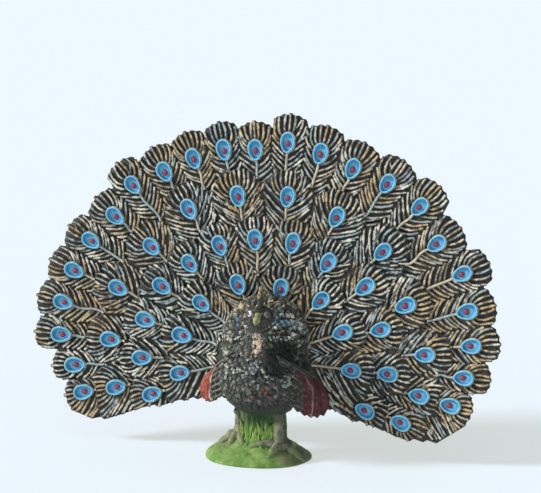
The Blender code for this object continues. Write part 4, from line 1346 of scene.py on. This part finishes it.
class Drawing:
    """Lines drawn on the fan, with a thickness, a tone and a place along them at every point."""

    def __init__(self):
        self.points, self.links, self.thick, self.tone, self.along = [], [], [], [], []

    def line(self, points, thick, tone, length=1.0):
        start, last = len(self.points), len(points) - 1
        self.points += points
        self.thick += thick
        self.tone += [tone] * len(points)
        self.along += [k / last * length for k in range(len(points))]
        self.links += [(start + k, start + k + 1) for k in range(last)]

    def mesh(self):
        mesh = bpy.data.meshes.new("lines")
        mesh.from_pydata(self.points, self.links, [])
        return note(mesh, thickness=self.thick, tone=self.tone, along=self.along)


def bent(a, b, c, t):
    """Point on a line from a to c that b draws to its side."""
    return a * (1 - t) ** 2 + b * 2 * t * (1 - t) + c * t * t


def cut_line(line, keep, pieces=24):
    """Longest run of a bent line on which every point is kept."""
    best, first = (0, 0), None
    for k in range(pieces + 2):
        kept = k <= pieces and keep(line(k / pieces))
        if kept and first is None:
            first = k
        if not kept and first is not None:
            best = max(best, (first, k - 1), key=lambda run: run[1] - run[0])
            first = None
    return (best[0] / pieces, best[1] / pieces) if best[1] - best[0] > 3 else None


STATIONS = (0.0, 0.22, 0.48, 0.74, 0.93, 1.0)
SWELLS = (0.62, 0.92, 1.08, 1.06, 0.94, 0.62)


def border_targets(number, feathers, i, side, rng):
    """Where barbs end: up the line midway to the next feather, then along the row's edge."""
    feather = feathers[i]
    beside = i + side
    if 0 <= beside < len(feathers):
        middle = (feather.angle + feathers[beside].angle) / 2
    else:
        middle = feather.angle + side * END_HALF / feather.reach
    edge = edges[number]
    inner = PAD_RADIUS - 0.001
    if number:
        before = [mix(feather.angle, middle, k / 4) for k in range(5)]
        inner = min(edge_radius(edges[number - 1], a) for a in before) - ROW_TUCK
    cleft = edge_radius(edge, middle)
    targets = []
    radius = inner + rng.uniform(0, 0.0008)
    while radius < cleft - 0.0003:
        targets.append(polar(mix(middle, feather.angle, rng.uniform(0.0, 0.12)), radius))
        radius += BARB_PITCH * 1.28 * rng.uniform(0.8, 1.2)
    span = abs(middle - feather.angle) * (feather.reach + 0.003)
    count = max(3, int(round(span / EYE_PITCH)))
    for k in range(count):
        a = mix(middle, feather.angle, (k + 0.5) / (count + 0.25))
        targets.append(polar(a, edge_radius(edge, a) + TIP_OUT))
    return targets


def drift(point):
    """Hand-cut barbs wander together by a few tenths of a millimetre."""
    aside = noise.noise(point / DRIFT_SIZE + Vector((3.0, 0, 0)))
    along = noise.noise(point / DRIFT_SIZE + Vector((0, 9.0, 0)))
    return Vector((aside, along, 0)) * DRIFT


def draw_barbs(drawing, number, rng):
    feathers = rows[number]
    slope = tan(radians(BARB_SLANT))

    def keep(p):
        radius, angle = p.length, angle_of(p)
        if on_eye(p) or radius > near_rim(angle) - RIM_ROOM:
            return False
        return radius > (edge_radius(edges[number - 1], angle) - ROW_LAP if number else PAD_EDGE)

    for i, feather in enumerate(feathers):
        out, across = ways(feather.angle)
        eye = polar(feather.angle, feather.reach)
        level = feather.reach - EYE_LENGTH * 0.08
        crown = edge_radius(edges[number], feather.angle) - 0.0001
        run = [out * mix(feather.reach + EYE_LENGTH / 2, crown, t) for t in STATIONS]
        run = [at_height(p, front_height(p * 0.999) + CROWN_LIFT) for p in run]
        drawing.line(run, [0.9 * g for g in SWELLS], rng.random())
        for side in (-1, 1):
            targets = border_targets(number, feathers, i, side, rng)
            starts = [p.dot(out) - max(0.0002, abs(p.dot(across))) / slope for p in targets]
            round_eye = [k for k, s in enumerate(starts) if s >= level]
            for k, (target, s) in enumerate(zip(targets, starts)):
                if s < level:
                    start = out * s
                    toward = target - start
                    bow = (across * side - out) * toward.length * rng.uniform(0.04, 0.14)
                    bend = start + toward * 0.5 + bow
                else:
                    turn = radians(mix(100, 12, (round_eye.index(k) + 0.5) / len(round_eye)))
                    narrow = 1 + EYE_TAPER * cos(turn)
                    start = eye + (out * EYE_LENGTH / 2 * cos(turn)
                                   + across * side * EYE_WIDTH / 2 * sin(turn) * narrow)
                    away = (out * cos(turn) * 0.7 + across * side * sin(turn)).normalized()
                    reach = (target - start).length
                    bow = smooth(turn, 0.1, 1.0)
                    bend = start + away * reach * mix(0.3, 0.42, bow)
                    bend += out * reach * mix(0.24, 0.08, bow)
                jog = rng.uniform(-JOG, JOG)

                def line(t, a=start, b=bend, c=target, jog=jog):
                    point = bent(a, b, c, t)
                    return point + across * jog * t + drift(point) * t

                part = cut_line(line, keep)
                points = [line(mix(*part, t)) for t in STATIONS] if part else []
                if not part or (points[0] - points[-1]).length < SHORTEST:
                    continue
                thick = rng.uniform(0.8, 1.15)
                lift = rng.uniform(-0.00003, 0.00006)
                for k, t in enumerate(STATIONS):
                    base = front_height(points[k] * 0.999) + BARB_LIFT
                    points[k] = at_height(points[k], base + lift + BARB_ARCH * sin(pi * t))
                full = OUTER_SHARE if number == 3 else 1.0
                drawing.line(points, [thick * g for g in SWELLS], rng.random(), full)


def fill_gaps(drawing, rng):
    """Short odd barbs wherever the drawn ones leave the ground bare."""
    ends = [(drawing.points[a], drawing.points[b]) for a, b in drawing.links]
    seen = [mix(*pair, k / 4) for pair in ends for k in range(4)]
    near = kdtree.KDTree(len(seen))
    for k, p in enumerate(seen):
        near.insert(at_height(p, 0), k)
    near.balance()
    added = []
    for i in range(-110, 111):
        for j in range(-50, 111):
            spot = Vector((i, j, 0)) * GAP_GRID
            radius, angle = spot.length, angle_of(spot)
            if radius < PAD_RADIUS + 0.001 or radius > near_rim(angle) - 0.0007:
                continue
            inside = [k for k, edge in enumerate(edges) if radius < edge_radius(edge, angle)]
            number = inside[0] if inside else 3
            feather = min(rows[number], key=lambda f: abs(f.angle - angle))
            out, across = ways(feather.angle)
            aside, ahead = spot.dot(across), spot.dot(out) - feather.reach
            on_shaft = abs(aside) < 0.0006 and ahead < 0
            if on_shaft or on_eye(spot, 0.0006) or near.find(spot)[2] < BARE:
                continue
            if any((spot - other).length < ODD_PITCH for other in added):
                continue
            added.append(spot)
            turn = radians(rng.uniform(28, 58)) * (1 if aside > 0 else -1)
            way = out * cos(turn) + across * sin(turn)
            reach = rng.uniform(0.0006, 0.001)
            points = []
            for t in STATIONS:
                p = spot + way * reach * (2 * t - 1) + out * reach * 0.5 * t * t
                points.append(at_height(p, front_height(p) + ODD_LIFT))
            shade, end = rng.random(), points[-1]
            if end.length < near_rim(angle_of(end)) - 0.0003 and not on_eye(end):
                drawing.line(points, [0.8 * g for g in SWELLS], shade, 0.9)


rng = random.Random(12)
drawn = Drawing()
for number in range(len(ROWS)):
    draw_barbs(drawn, number, rng)
fill_gaps(drawn, rng)

barb_paint = Paint("barb_paint", specular=0.38)
crest = barb_paint.number("crest")
along = barb_paint.number("along")
tone = barb_paint.number("tone")
worn = barb_paint.cloud(0.0011, 4.0, 0.6)
region = barb_paint.cloud(0.009, 2.0)
fleck = barb_paint.cloud(0.0005, 3.0)
near = ((barb_paint.x - 0.0005) ** 2 + (barb_paint.z - 0.02) ** 2) ** 0.5
inward = 1 - near.rise(0.012, 0.04)
dark = barb_paint.layers(
    barb_paint.blend(region, (0.036, 0.038, 0.036), (0.086, 0.072, 0.052)),
    (tone.rise(0.7, 0.9) * inward * 0.5, (0.022, 0.046, 0.058)))
gold = barb_paint.blend(fleck, (0.46, 0.32, 0.15), (0.72, 0.57, 0.33))
pale = barb_paint.layers(
    barb_paint.blend(tone, (0.66, 0.61, 0.48), (0.9, 0.87, 0.74)),
    ((region + tone * 0.6).rise(0.8, 1.2), gold),
    ((1 - tone + inward * 0.22 - region * 0.15).rise(0.64, 0.8) * 0.85, (0.34, 0.45, 0.48)))
ends = along.rise(0.0, 0.22) * (1 - along.rise(0.74, 1.0) * 0.85)
took = (crest + ends * 0.14 + (worn - 0.5) * 0.45).rise(0.78, 1.1)
took = took * (0.25 + 0.75 * ends) * (0.5 + 0.5 * worn)
barb_paint.coat(barb_paint.blend(took, dark, pale), 0.56 - took * 0.06, fleck, 0.00003)
strand = strand_tree()
place_on_fan(strand.make("barbs", drawn.mesh(), barb_paint), barb_paint)

# Shafts: a thick raised quill runs down from each eye until the row in front covers it.
# Several wander a little; all were picked out in cream, some in pale blue.

SHAFT_HALF = 0.00027
SHAFT_RISE = 0.00034
SHAFT_LIFT = 0.00016
SHAFT_SWAY = 0.09


def draw_shafts(drawing, rng):
    for number, feathers in enumerate(rows):
        for feather in feathers:
            start = PAD_RADIUS + PAD_SLOPE * 0.4
            if number:
                start = edge_radius(edges[number - 1], feather.angle) - 0.0001
            end = feather.reach - EYE_LENGTH / 2 + 0.0001
            if end - start < 0.0006:
                continue
            out, across = ways(feather.angle)
            sway = rng.uniform(-1, 1) * SHAFT_SWAY * (end - start)
            steps = [k / 8 for k in range(9)]
            points = [out * mix(start, end, t) + across * sway * sin(2 * pi * t) * 0.6
                      for t in steps]
            points = [at_height(p, front_height(p) + SHAFT_LIFT) for p in points]
            sizes = [mix(1.12, 0.82, t) * (1 if t else 0.75) for t in steps]
            drawing.line(points, sizes, rng.random())


shafts = Drawing()
draw_shafts(shafts, random.Random(5))
shaft_paint = Paint("shaft_paint", specular=0.4)
tone = shaft_paint.number("tone")
crest = shaft_paint.number("crest")
worn = shaft_paint.cloud(0.001, 4.0)
pale = shaft_paint.blend(tone.rise(0.62, 0.75) * 0.85, (0.74, 0.65, 0.47), (0.4, 0.53, 0.57))
colour = shaft_paint.blend(crest.rise(0.05, 0.65) * (0.55 + 0.45 * worn), (0.05, 0.042, 0.03), pale)
shaft_paint.coat(colour, 0.52, worn, 0.00003)
sizes = {"Width": SHAFT_HALF, "Rise": SHAFT_RISE, "Sides": 8}
place_on_fan(strand.make("shafts", shafts.mesh(), shaft_paint, **sizes), shaft_paint)

# Eyes: a shallow egg-shaped cup with a raised rim sits on every feather, sky blue inside,
# with a red drop towards its inner end.

EYE_RIM = 0.00072
EYE_SINK = 0.00007
EYE_SIDES = 24
EYE_TILT = 0.05


def eye_mesh():
    """One cup, broad end along Y, open towards Z."""
    profile = (
        # growth beyond the rim line, share of the way out, height, depth
        (EYE_FOOT, 1.0, -0.0003, 1.0), (EYE_FOOT * 0.9, 1.0, 0.00018, 1.0),
        (0.00014, 1.0, 0.0005, 0.92), (0.00003, 1.0, EYE_RIM, 0.84),
        (-0.00009, 1.0, EYE_RIM, 0.76), (-0.00022, 1.0, EYE_RIM * 0.75, 0.66),
        (-0.00034, 1.0, 0.00004, 0.56), (0.0, 0.6, EYE_SINK, 0.44), (0.0, 0.46, EYE_SINK, 0.34),
    )
    drop = (
        # share of the way out, height, depth
        (0.38, EYE_SINK, 0.3), (0.33, EYE_SINK + 0.00018, 0.2),
        (0.22, EYE_SINK + 0.0003, 0.1), (0.08, EYE_SINK + 0.00034, 0.0),
    )
    rings, level = [], []
    for grow, share, height, depth in profile:
        ring = []
        for a in angles(EYE_SIDES):
            x = (EYE_WIDTH / 2 * share + grow) * sin(a) * (1 + EYE_TAPER * cos(a))
            y = (EYE_LENGTH / 2 * share + grow) * cos(a) - 0.0002 * (1 - share)
            ring.append(Vector((x, y, height)))
        rings.append(ring)
        level += [depth] * EYE_SIDES
    for share, height, depth in drop:
        half = EYE_WIDTH / 2 * share * 1.05
        rings.append([Vector((half * sin(a), half * 1.15 * cos(a) - 0.00022, height))
                      for a in angles(EYE_SIDES)])
        level += [depth] * EYE_SIDES
    return mesh_of("eye_pattern", *skin(rings), level=level + [1.0, 0.0])


def eye_spots():
    rng = random.Random(9)
    entries = []
    for feather in every_feather:
        centre = polar(feather.angle, feather.reach)
        ahead, behind = [polar(feather.angle, feather.reach + step) for step in (0.001, -0.001)]
        ahead, behind = [at_height(p, dish(p.length)) for p in (ahead, behind)]
        aim = (ahead - behind).normalized()
        facing = Vector((aim.y, -aim.x, 0)).cross(aim)
        tilt = Vector((rng.uniform(-EYE_TILT, EYE_TILT), rng.uniform(-EYE_TILT, EYE_TILT), 0))
        facing = ((facing if facing.z > 0 else -facing) + tilt).normalized()
        centre.z = front_height(centre) + RECESS
        entries.append((centre, facing, aim, rng.uniform(0.97, 1.04), rng.random()))
    return entries


eye_paint = Paint("eye_paint", specular=0.45)
level = eye_paint.number("level")
wear = eye_paint.cloud(0.0009, 4.0)
wobble = (eye_paint.cloud(0.0006, 2.0) - 0.5) * 0.1
depth, drop = level + wobble, level + wobble * 0.6
foot = eye_paint.blend(wear.rise(0.2, 0.6), (0.11, 0.12, 0.09), (0.64, 0.64, 0.48))
colour = eye_paint.layers(
    eye_paint.blend(wear, (0.066, 0.36, 0.62), (0.125, 0.48, 0.74)),
    # Darker blue ring on the cup's inner wall: partly the eye's own dark blue paint, partly painted
    # shade under the rim.
    (depth.rise(0.44, 0.52) * (1 - depth.rise(0.6, 0.68)) * 0.45, (0.02, 0.16, 0.36)),
    (depth.rise(0.64, 0.72) * (0.65 + 0.35 * wear), (0.24, 0.6, 0.8)),
    (depth.rise(0.86, 0.94) * 0.9, foot),
    ((1 - drop.rise(0.36, 0.42)) * 0.7, (0.21, 0.56, 0.78)),
    (1 - drop.rise(0.27, 0.33), (0.29, 0.042, 0.075)))
eye_paint.coat(colour, 0.46 + wear * 0.08, wear, 0.00003)
place_on_fan(repeat("feather_eyes", eye_mesh(), eye_spots(), ("tone",), eye_paint), eye_paint)

# Back of the tail: the outer feathers' quills and plain barbs show, under a short stiff tail
# that props the train. It has the same dark ground and a thinner dry brushing.

TAIL_REACH = 0.0165
TAIL_RISE = 0.0008
TAIL_START = 0.003
TAIL_STEP = 0.00016
TAIL_SINK = 0.0001
TAIL_QUILL = 0.00018
TAIL_GRAIN = 0.00005
TAIL_HALF = 0.0026
TAIL_ROWS = 22
TAIL_COLUMNS = 12
TAIL_COUNT = 9
TAIL_SWEEP = radians(74.0)
BACK_PITCH = 0.00104
BACK_HALF = 0.0003
BACK_BARB_RISE = 0.00017
BACK_SHAFT_RISE = 0.00028


def back_height(radius):
    return dish(radius) - PLATE


def draw_back(drawing, quills, rng):
    feathers = rows[-1]

    def keep(p):
        return p.length < near_rim(angle_of(p)) - 0.0003

    for i, feather in enumerate(feathers):
        out, across = ways(feather.angle)
        top = feather_top(ROWS[-1], feather) - 0.0004
        run = [out * mix(TAIL_REACH - 0.001, top - 0.0008, k / 14) for k in range(15)]
        run = [at_height(p, back_height(p.length)) for p in run]
        quills.line(run, [mix(1.5, 0.7, k / 14) for k in range(15)], rng.random())
        for side in (-1, 1):
            beside, half = i + side, None
            if 0 <= beside < len(feathers):
                half = abs(feathers[beside].angle - feather.angle) / 2
            s = TAIL_REACH + 0.0004
            while s < top - 0.0006:
                wide = s * tan(half) * 1.08 if half else 0.015
                start = out * s
                aim = out * wide * 1.25 + across * side * wide
                bend = start + aim * 0.5 + (across * side - out) * wide * 0.08

                def line(t, a=start, b=bend, c=start + aim):
                    return bent(a, b, c, t)

                part = cut_line(line, keep, 12)
                if part:
                    points = [line(mix(*part, t)) for t in (0.0, 0.35, 0.7, 1.0)]
                    points = [at_height(p, back_height(p.length) + 0.00004) for p in points]
                    sizes = [g * rng.uniform(0.9, 1.1) for g in (0.8, 1.05, 1.0, 0.5)]
                    drawing.line(points, sizes, rng.random())
                s += BACK_PITCH * rng.uniform(0.9, 1.1)


def tail_feather(k):
    """Stiff feather of the short tail: a long rounded leaf with a quill."""
    out, across = ways(mix(-TAIL_SWEEP, TAIL_SWEEP, (k + 0.5) / TAIL_COUNT))
    step = TAIL_STEP * (k % 2)
    points, crest = [], []
    for outer in (True, False):
        for r in range(TAIL_ROWS + 1):
            t = r / TAIL_ROWS
            for c in range(TAIL_COLUMNS + 1):
                w = c / TAIL_COLUMNS * 2 - 1
                half = TAIL_HALF * (0.35 + 0.65 * smooth(t, 0.0, 0.55)) * (1 - t ** 5 * 0.55)
                reach = TAIL_START + (TAIL_REACH - TAIL_START) * t - 0.0011 * w * w * t
                p = out * reach + across * half * w
                crown = TAIL_RISE * (1.6 - 0.7 * t) * (1 - 0.35 * abs(w) ** 2) + step
                ridge = TAIL_QUILL * exp(-(w / 0.13) ** 2) + TAIL_GRAIN * sin(70 * t - 9 * abs(w))
                rise = -crown - ridge if outer else TAIL_SINK
                points.append(at_height(p, back_height(p.length) + rise))
                crest.append(1 - (abs(w) if outer else 1.0))
    faces = panel_faces(TAIL_COLUMNS + 1, TAIL_ROWS + 1)
    return mesh_of("tail_feather", points, faces, crest=crest)


back_barbs, back_quills = Drawing(), Drawing()
draw_back(back_barbs, back_quills, random.Random(31))
for name, drawn, paint, rise, sides in (
        ("back_barbs", back_barbs, barb_paint, BACK_BARB_RISE, 4),
        ("back_shafts", back_quills, shaft_paint, BACK_SHAFT_RISE, 8)):
    drawn.points = [at_height(p, -p.z) for p in drawn.points]
    made = strand.make(name, drawn.mesh(), paint, Width=BACK_HALF, Rise=rise, Sides=sides)
    place_on_fan(made, paint, behind=True)

stiff_paint = Paint("stiff_tail_paint", specular=0.35)
worn = stiff_paint.cloud(0.0012, 5.0, 0.65)
quill = stiff_paint.number("crest").rise(0.86, 0.97)
colour = stiff_paint.layers(
    stiff_paint.blend(worn, (0.02, 0.018, 0.014), (0.07, 0.058, 0.04)),
    (quill * (0.3 + 0.6 * worn), (0.48, 0.4, 0.26)),
    (worn.rise(0.65, 0.95) * 0.35, (0.26, 0.22, 0.14)))
stiff_paint.coat(colour, 0.6, worn, 0.00006)
place_on_fan(join("short_tail", [tail_feather(k) for k in range(TAIL_COUNT)]), stiff_paint)

# Rump: rows of small soft feathers cover it under the short tail, down to the hem. They are
# part of the fan's moulding and share the short tail's paint.

RUMP_PITCH = 0.0015
RUMP_FEATHER = 0.0021


def rump_spots():
    rng = random.Random(17)
    entries = []
    for row in range(-12, 12):
        for column in range(-26, 27):
            x = (column + 0.5 * (row % 2) + rng.uniform(-0.2, 0.2)) * RUMP_PITCH
            spot = Vector((x, (row + rng.uniform(-0.2, 0.2)) * RUMP_PITCH * 0.8, 0))
            under = abs(angle_of(spot)) > (TAIL_SWEEP if spot.length < TAIL_REACH else radians(106))
            size = RUMP_FEATHER * rng.uniform(0.85, 1.15)
            aim = Vector((spot.x * 0.6, spot.y - 0.006, 0)).normalized()
            across = Vector((aim.y, -aim.x, 0))
            ends = [spot + aim * size * k + across * size * g
                    for k, g in ((1.1, 0.0), (0.8, 0.5), (0.8, -0.5), (0.4, 0.6), (0.4, -0.6))]
            if under and all(e.length < near_rim(angle_of(e)) - 0.0004 for e in ends):
                spot.z = back_height(spot.length) + 0.0001
                entries.append((spot, Vector((0, 0, -1)), aim, size, rng.random()))
    return entries


rump = repeat("rump_feathers", scale_mesh("crest"), rump_spots(), ("tone",), stiff_paint)
place_on_fan(rump, stiff_paint)


# Floor and light: a plain pale light table that glows a little, one broad soft light low on the
# left and a little in front of the figurine, and an even pale surround.

FLOOR = 3.0
LIGHT_FROM = Vector((-0.81, -0.33, 0.48))
corners = [Vector((x * FLOOR, y * FLOOR, 0)) for x, y in ((-1, -1), (1, -1), (1, 1), (-1, 1))]
floor_mesh = mesh_of("floor", corners, [(0, 1, 2, 3)])
floor_paint = Paint("floor_paint", specular=0.0)
floor_paint.coat((0.37, 0.45, 0.6), 0.9)
floor_paint.shader["Emission Color"].default_value = (0.513, 0.521, 0.455, 1.0)
floor_paint.shader["Emission Strength"].default_value = 1.0
floor_mesh.materials.append(floor_paint.material)
stand("floor", floor_mesh)

key = bpy.data.lights.new("key_light", "SUN")
key.energy = 3.05
key.angle = radians(12)
key.color = (1.0, 0.985, 0.96)
stand("key_light", key).rotation_euler = LIGHT_FROM.to_track_quat("Z", "Y").to_euler()

world = bpy.data.worlds.new("surround")
world.use_nodes = True
surround = world.node_tree.nodes["Background"].inputs
surround["Color"].default_value = (0.94, 0.97, 1.0, 1.0)
surround["Strength"].default_value = 0.47
bpy.context.scene.world = world
bpy.context.scene.view_settings.view_transform = "Standard"

# Camera: a long lens a little to the figurine's left and above it, as in the photograph. It is
# placed so that the middle of the base falls on its pixel there.

AZIMUTH = radians(15.2)
ELEVATION = radians(11.0)
DISTANCE = 0.45
FOCAL = 2368.4
SENSOR = 36.0
FRAME = (541, 493)
BASE_PIXEL = (258, 456)
right = Vector((cos(AZIMUTH), sin(AZIMUTH), 0))
back = Vector((sin(AZIMUTH) * cos(ELEVATION), -cos(AZIMUTH) * cos(ELEVATION), sin(ELEVATION)))
up = back.cross(right)
aside, below = [(pixel - side / 2) / FOCAL * DISTANCE for pixel, side in zip(BASE_PIXEL, FRAME)]
lens = bpy.data.cameras.new("camera")
lens.sensor_fit = "HORIZONTAL"
lens.sensor_width = SENSOR
lens.lens = FOCAL * SENSOR / FRAME[0]
lens.clip_start = 0.01
lens.clip_end = 20.0
camera = stand("camera", lens)
turn = Matrix((right, up, back)).transposed().to_4x4()
camera.matrix_world = Matrix.Translation(back * DISTANCE - right * aside + up * below) @ turn
bpy.context.scene.camera = camera
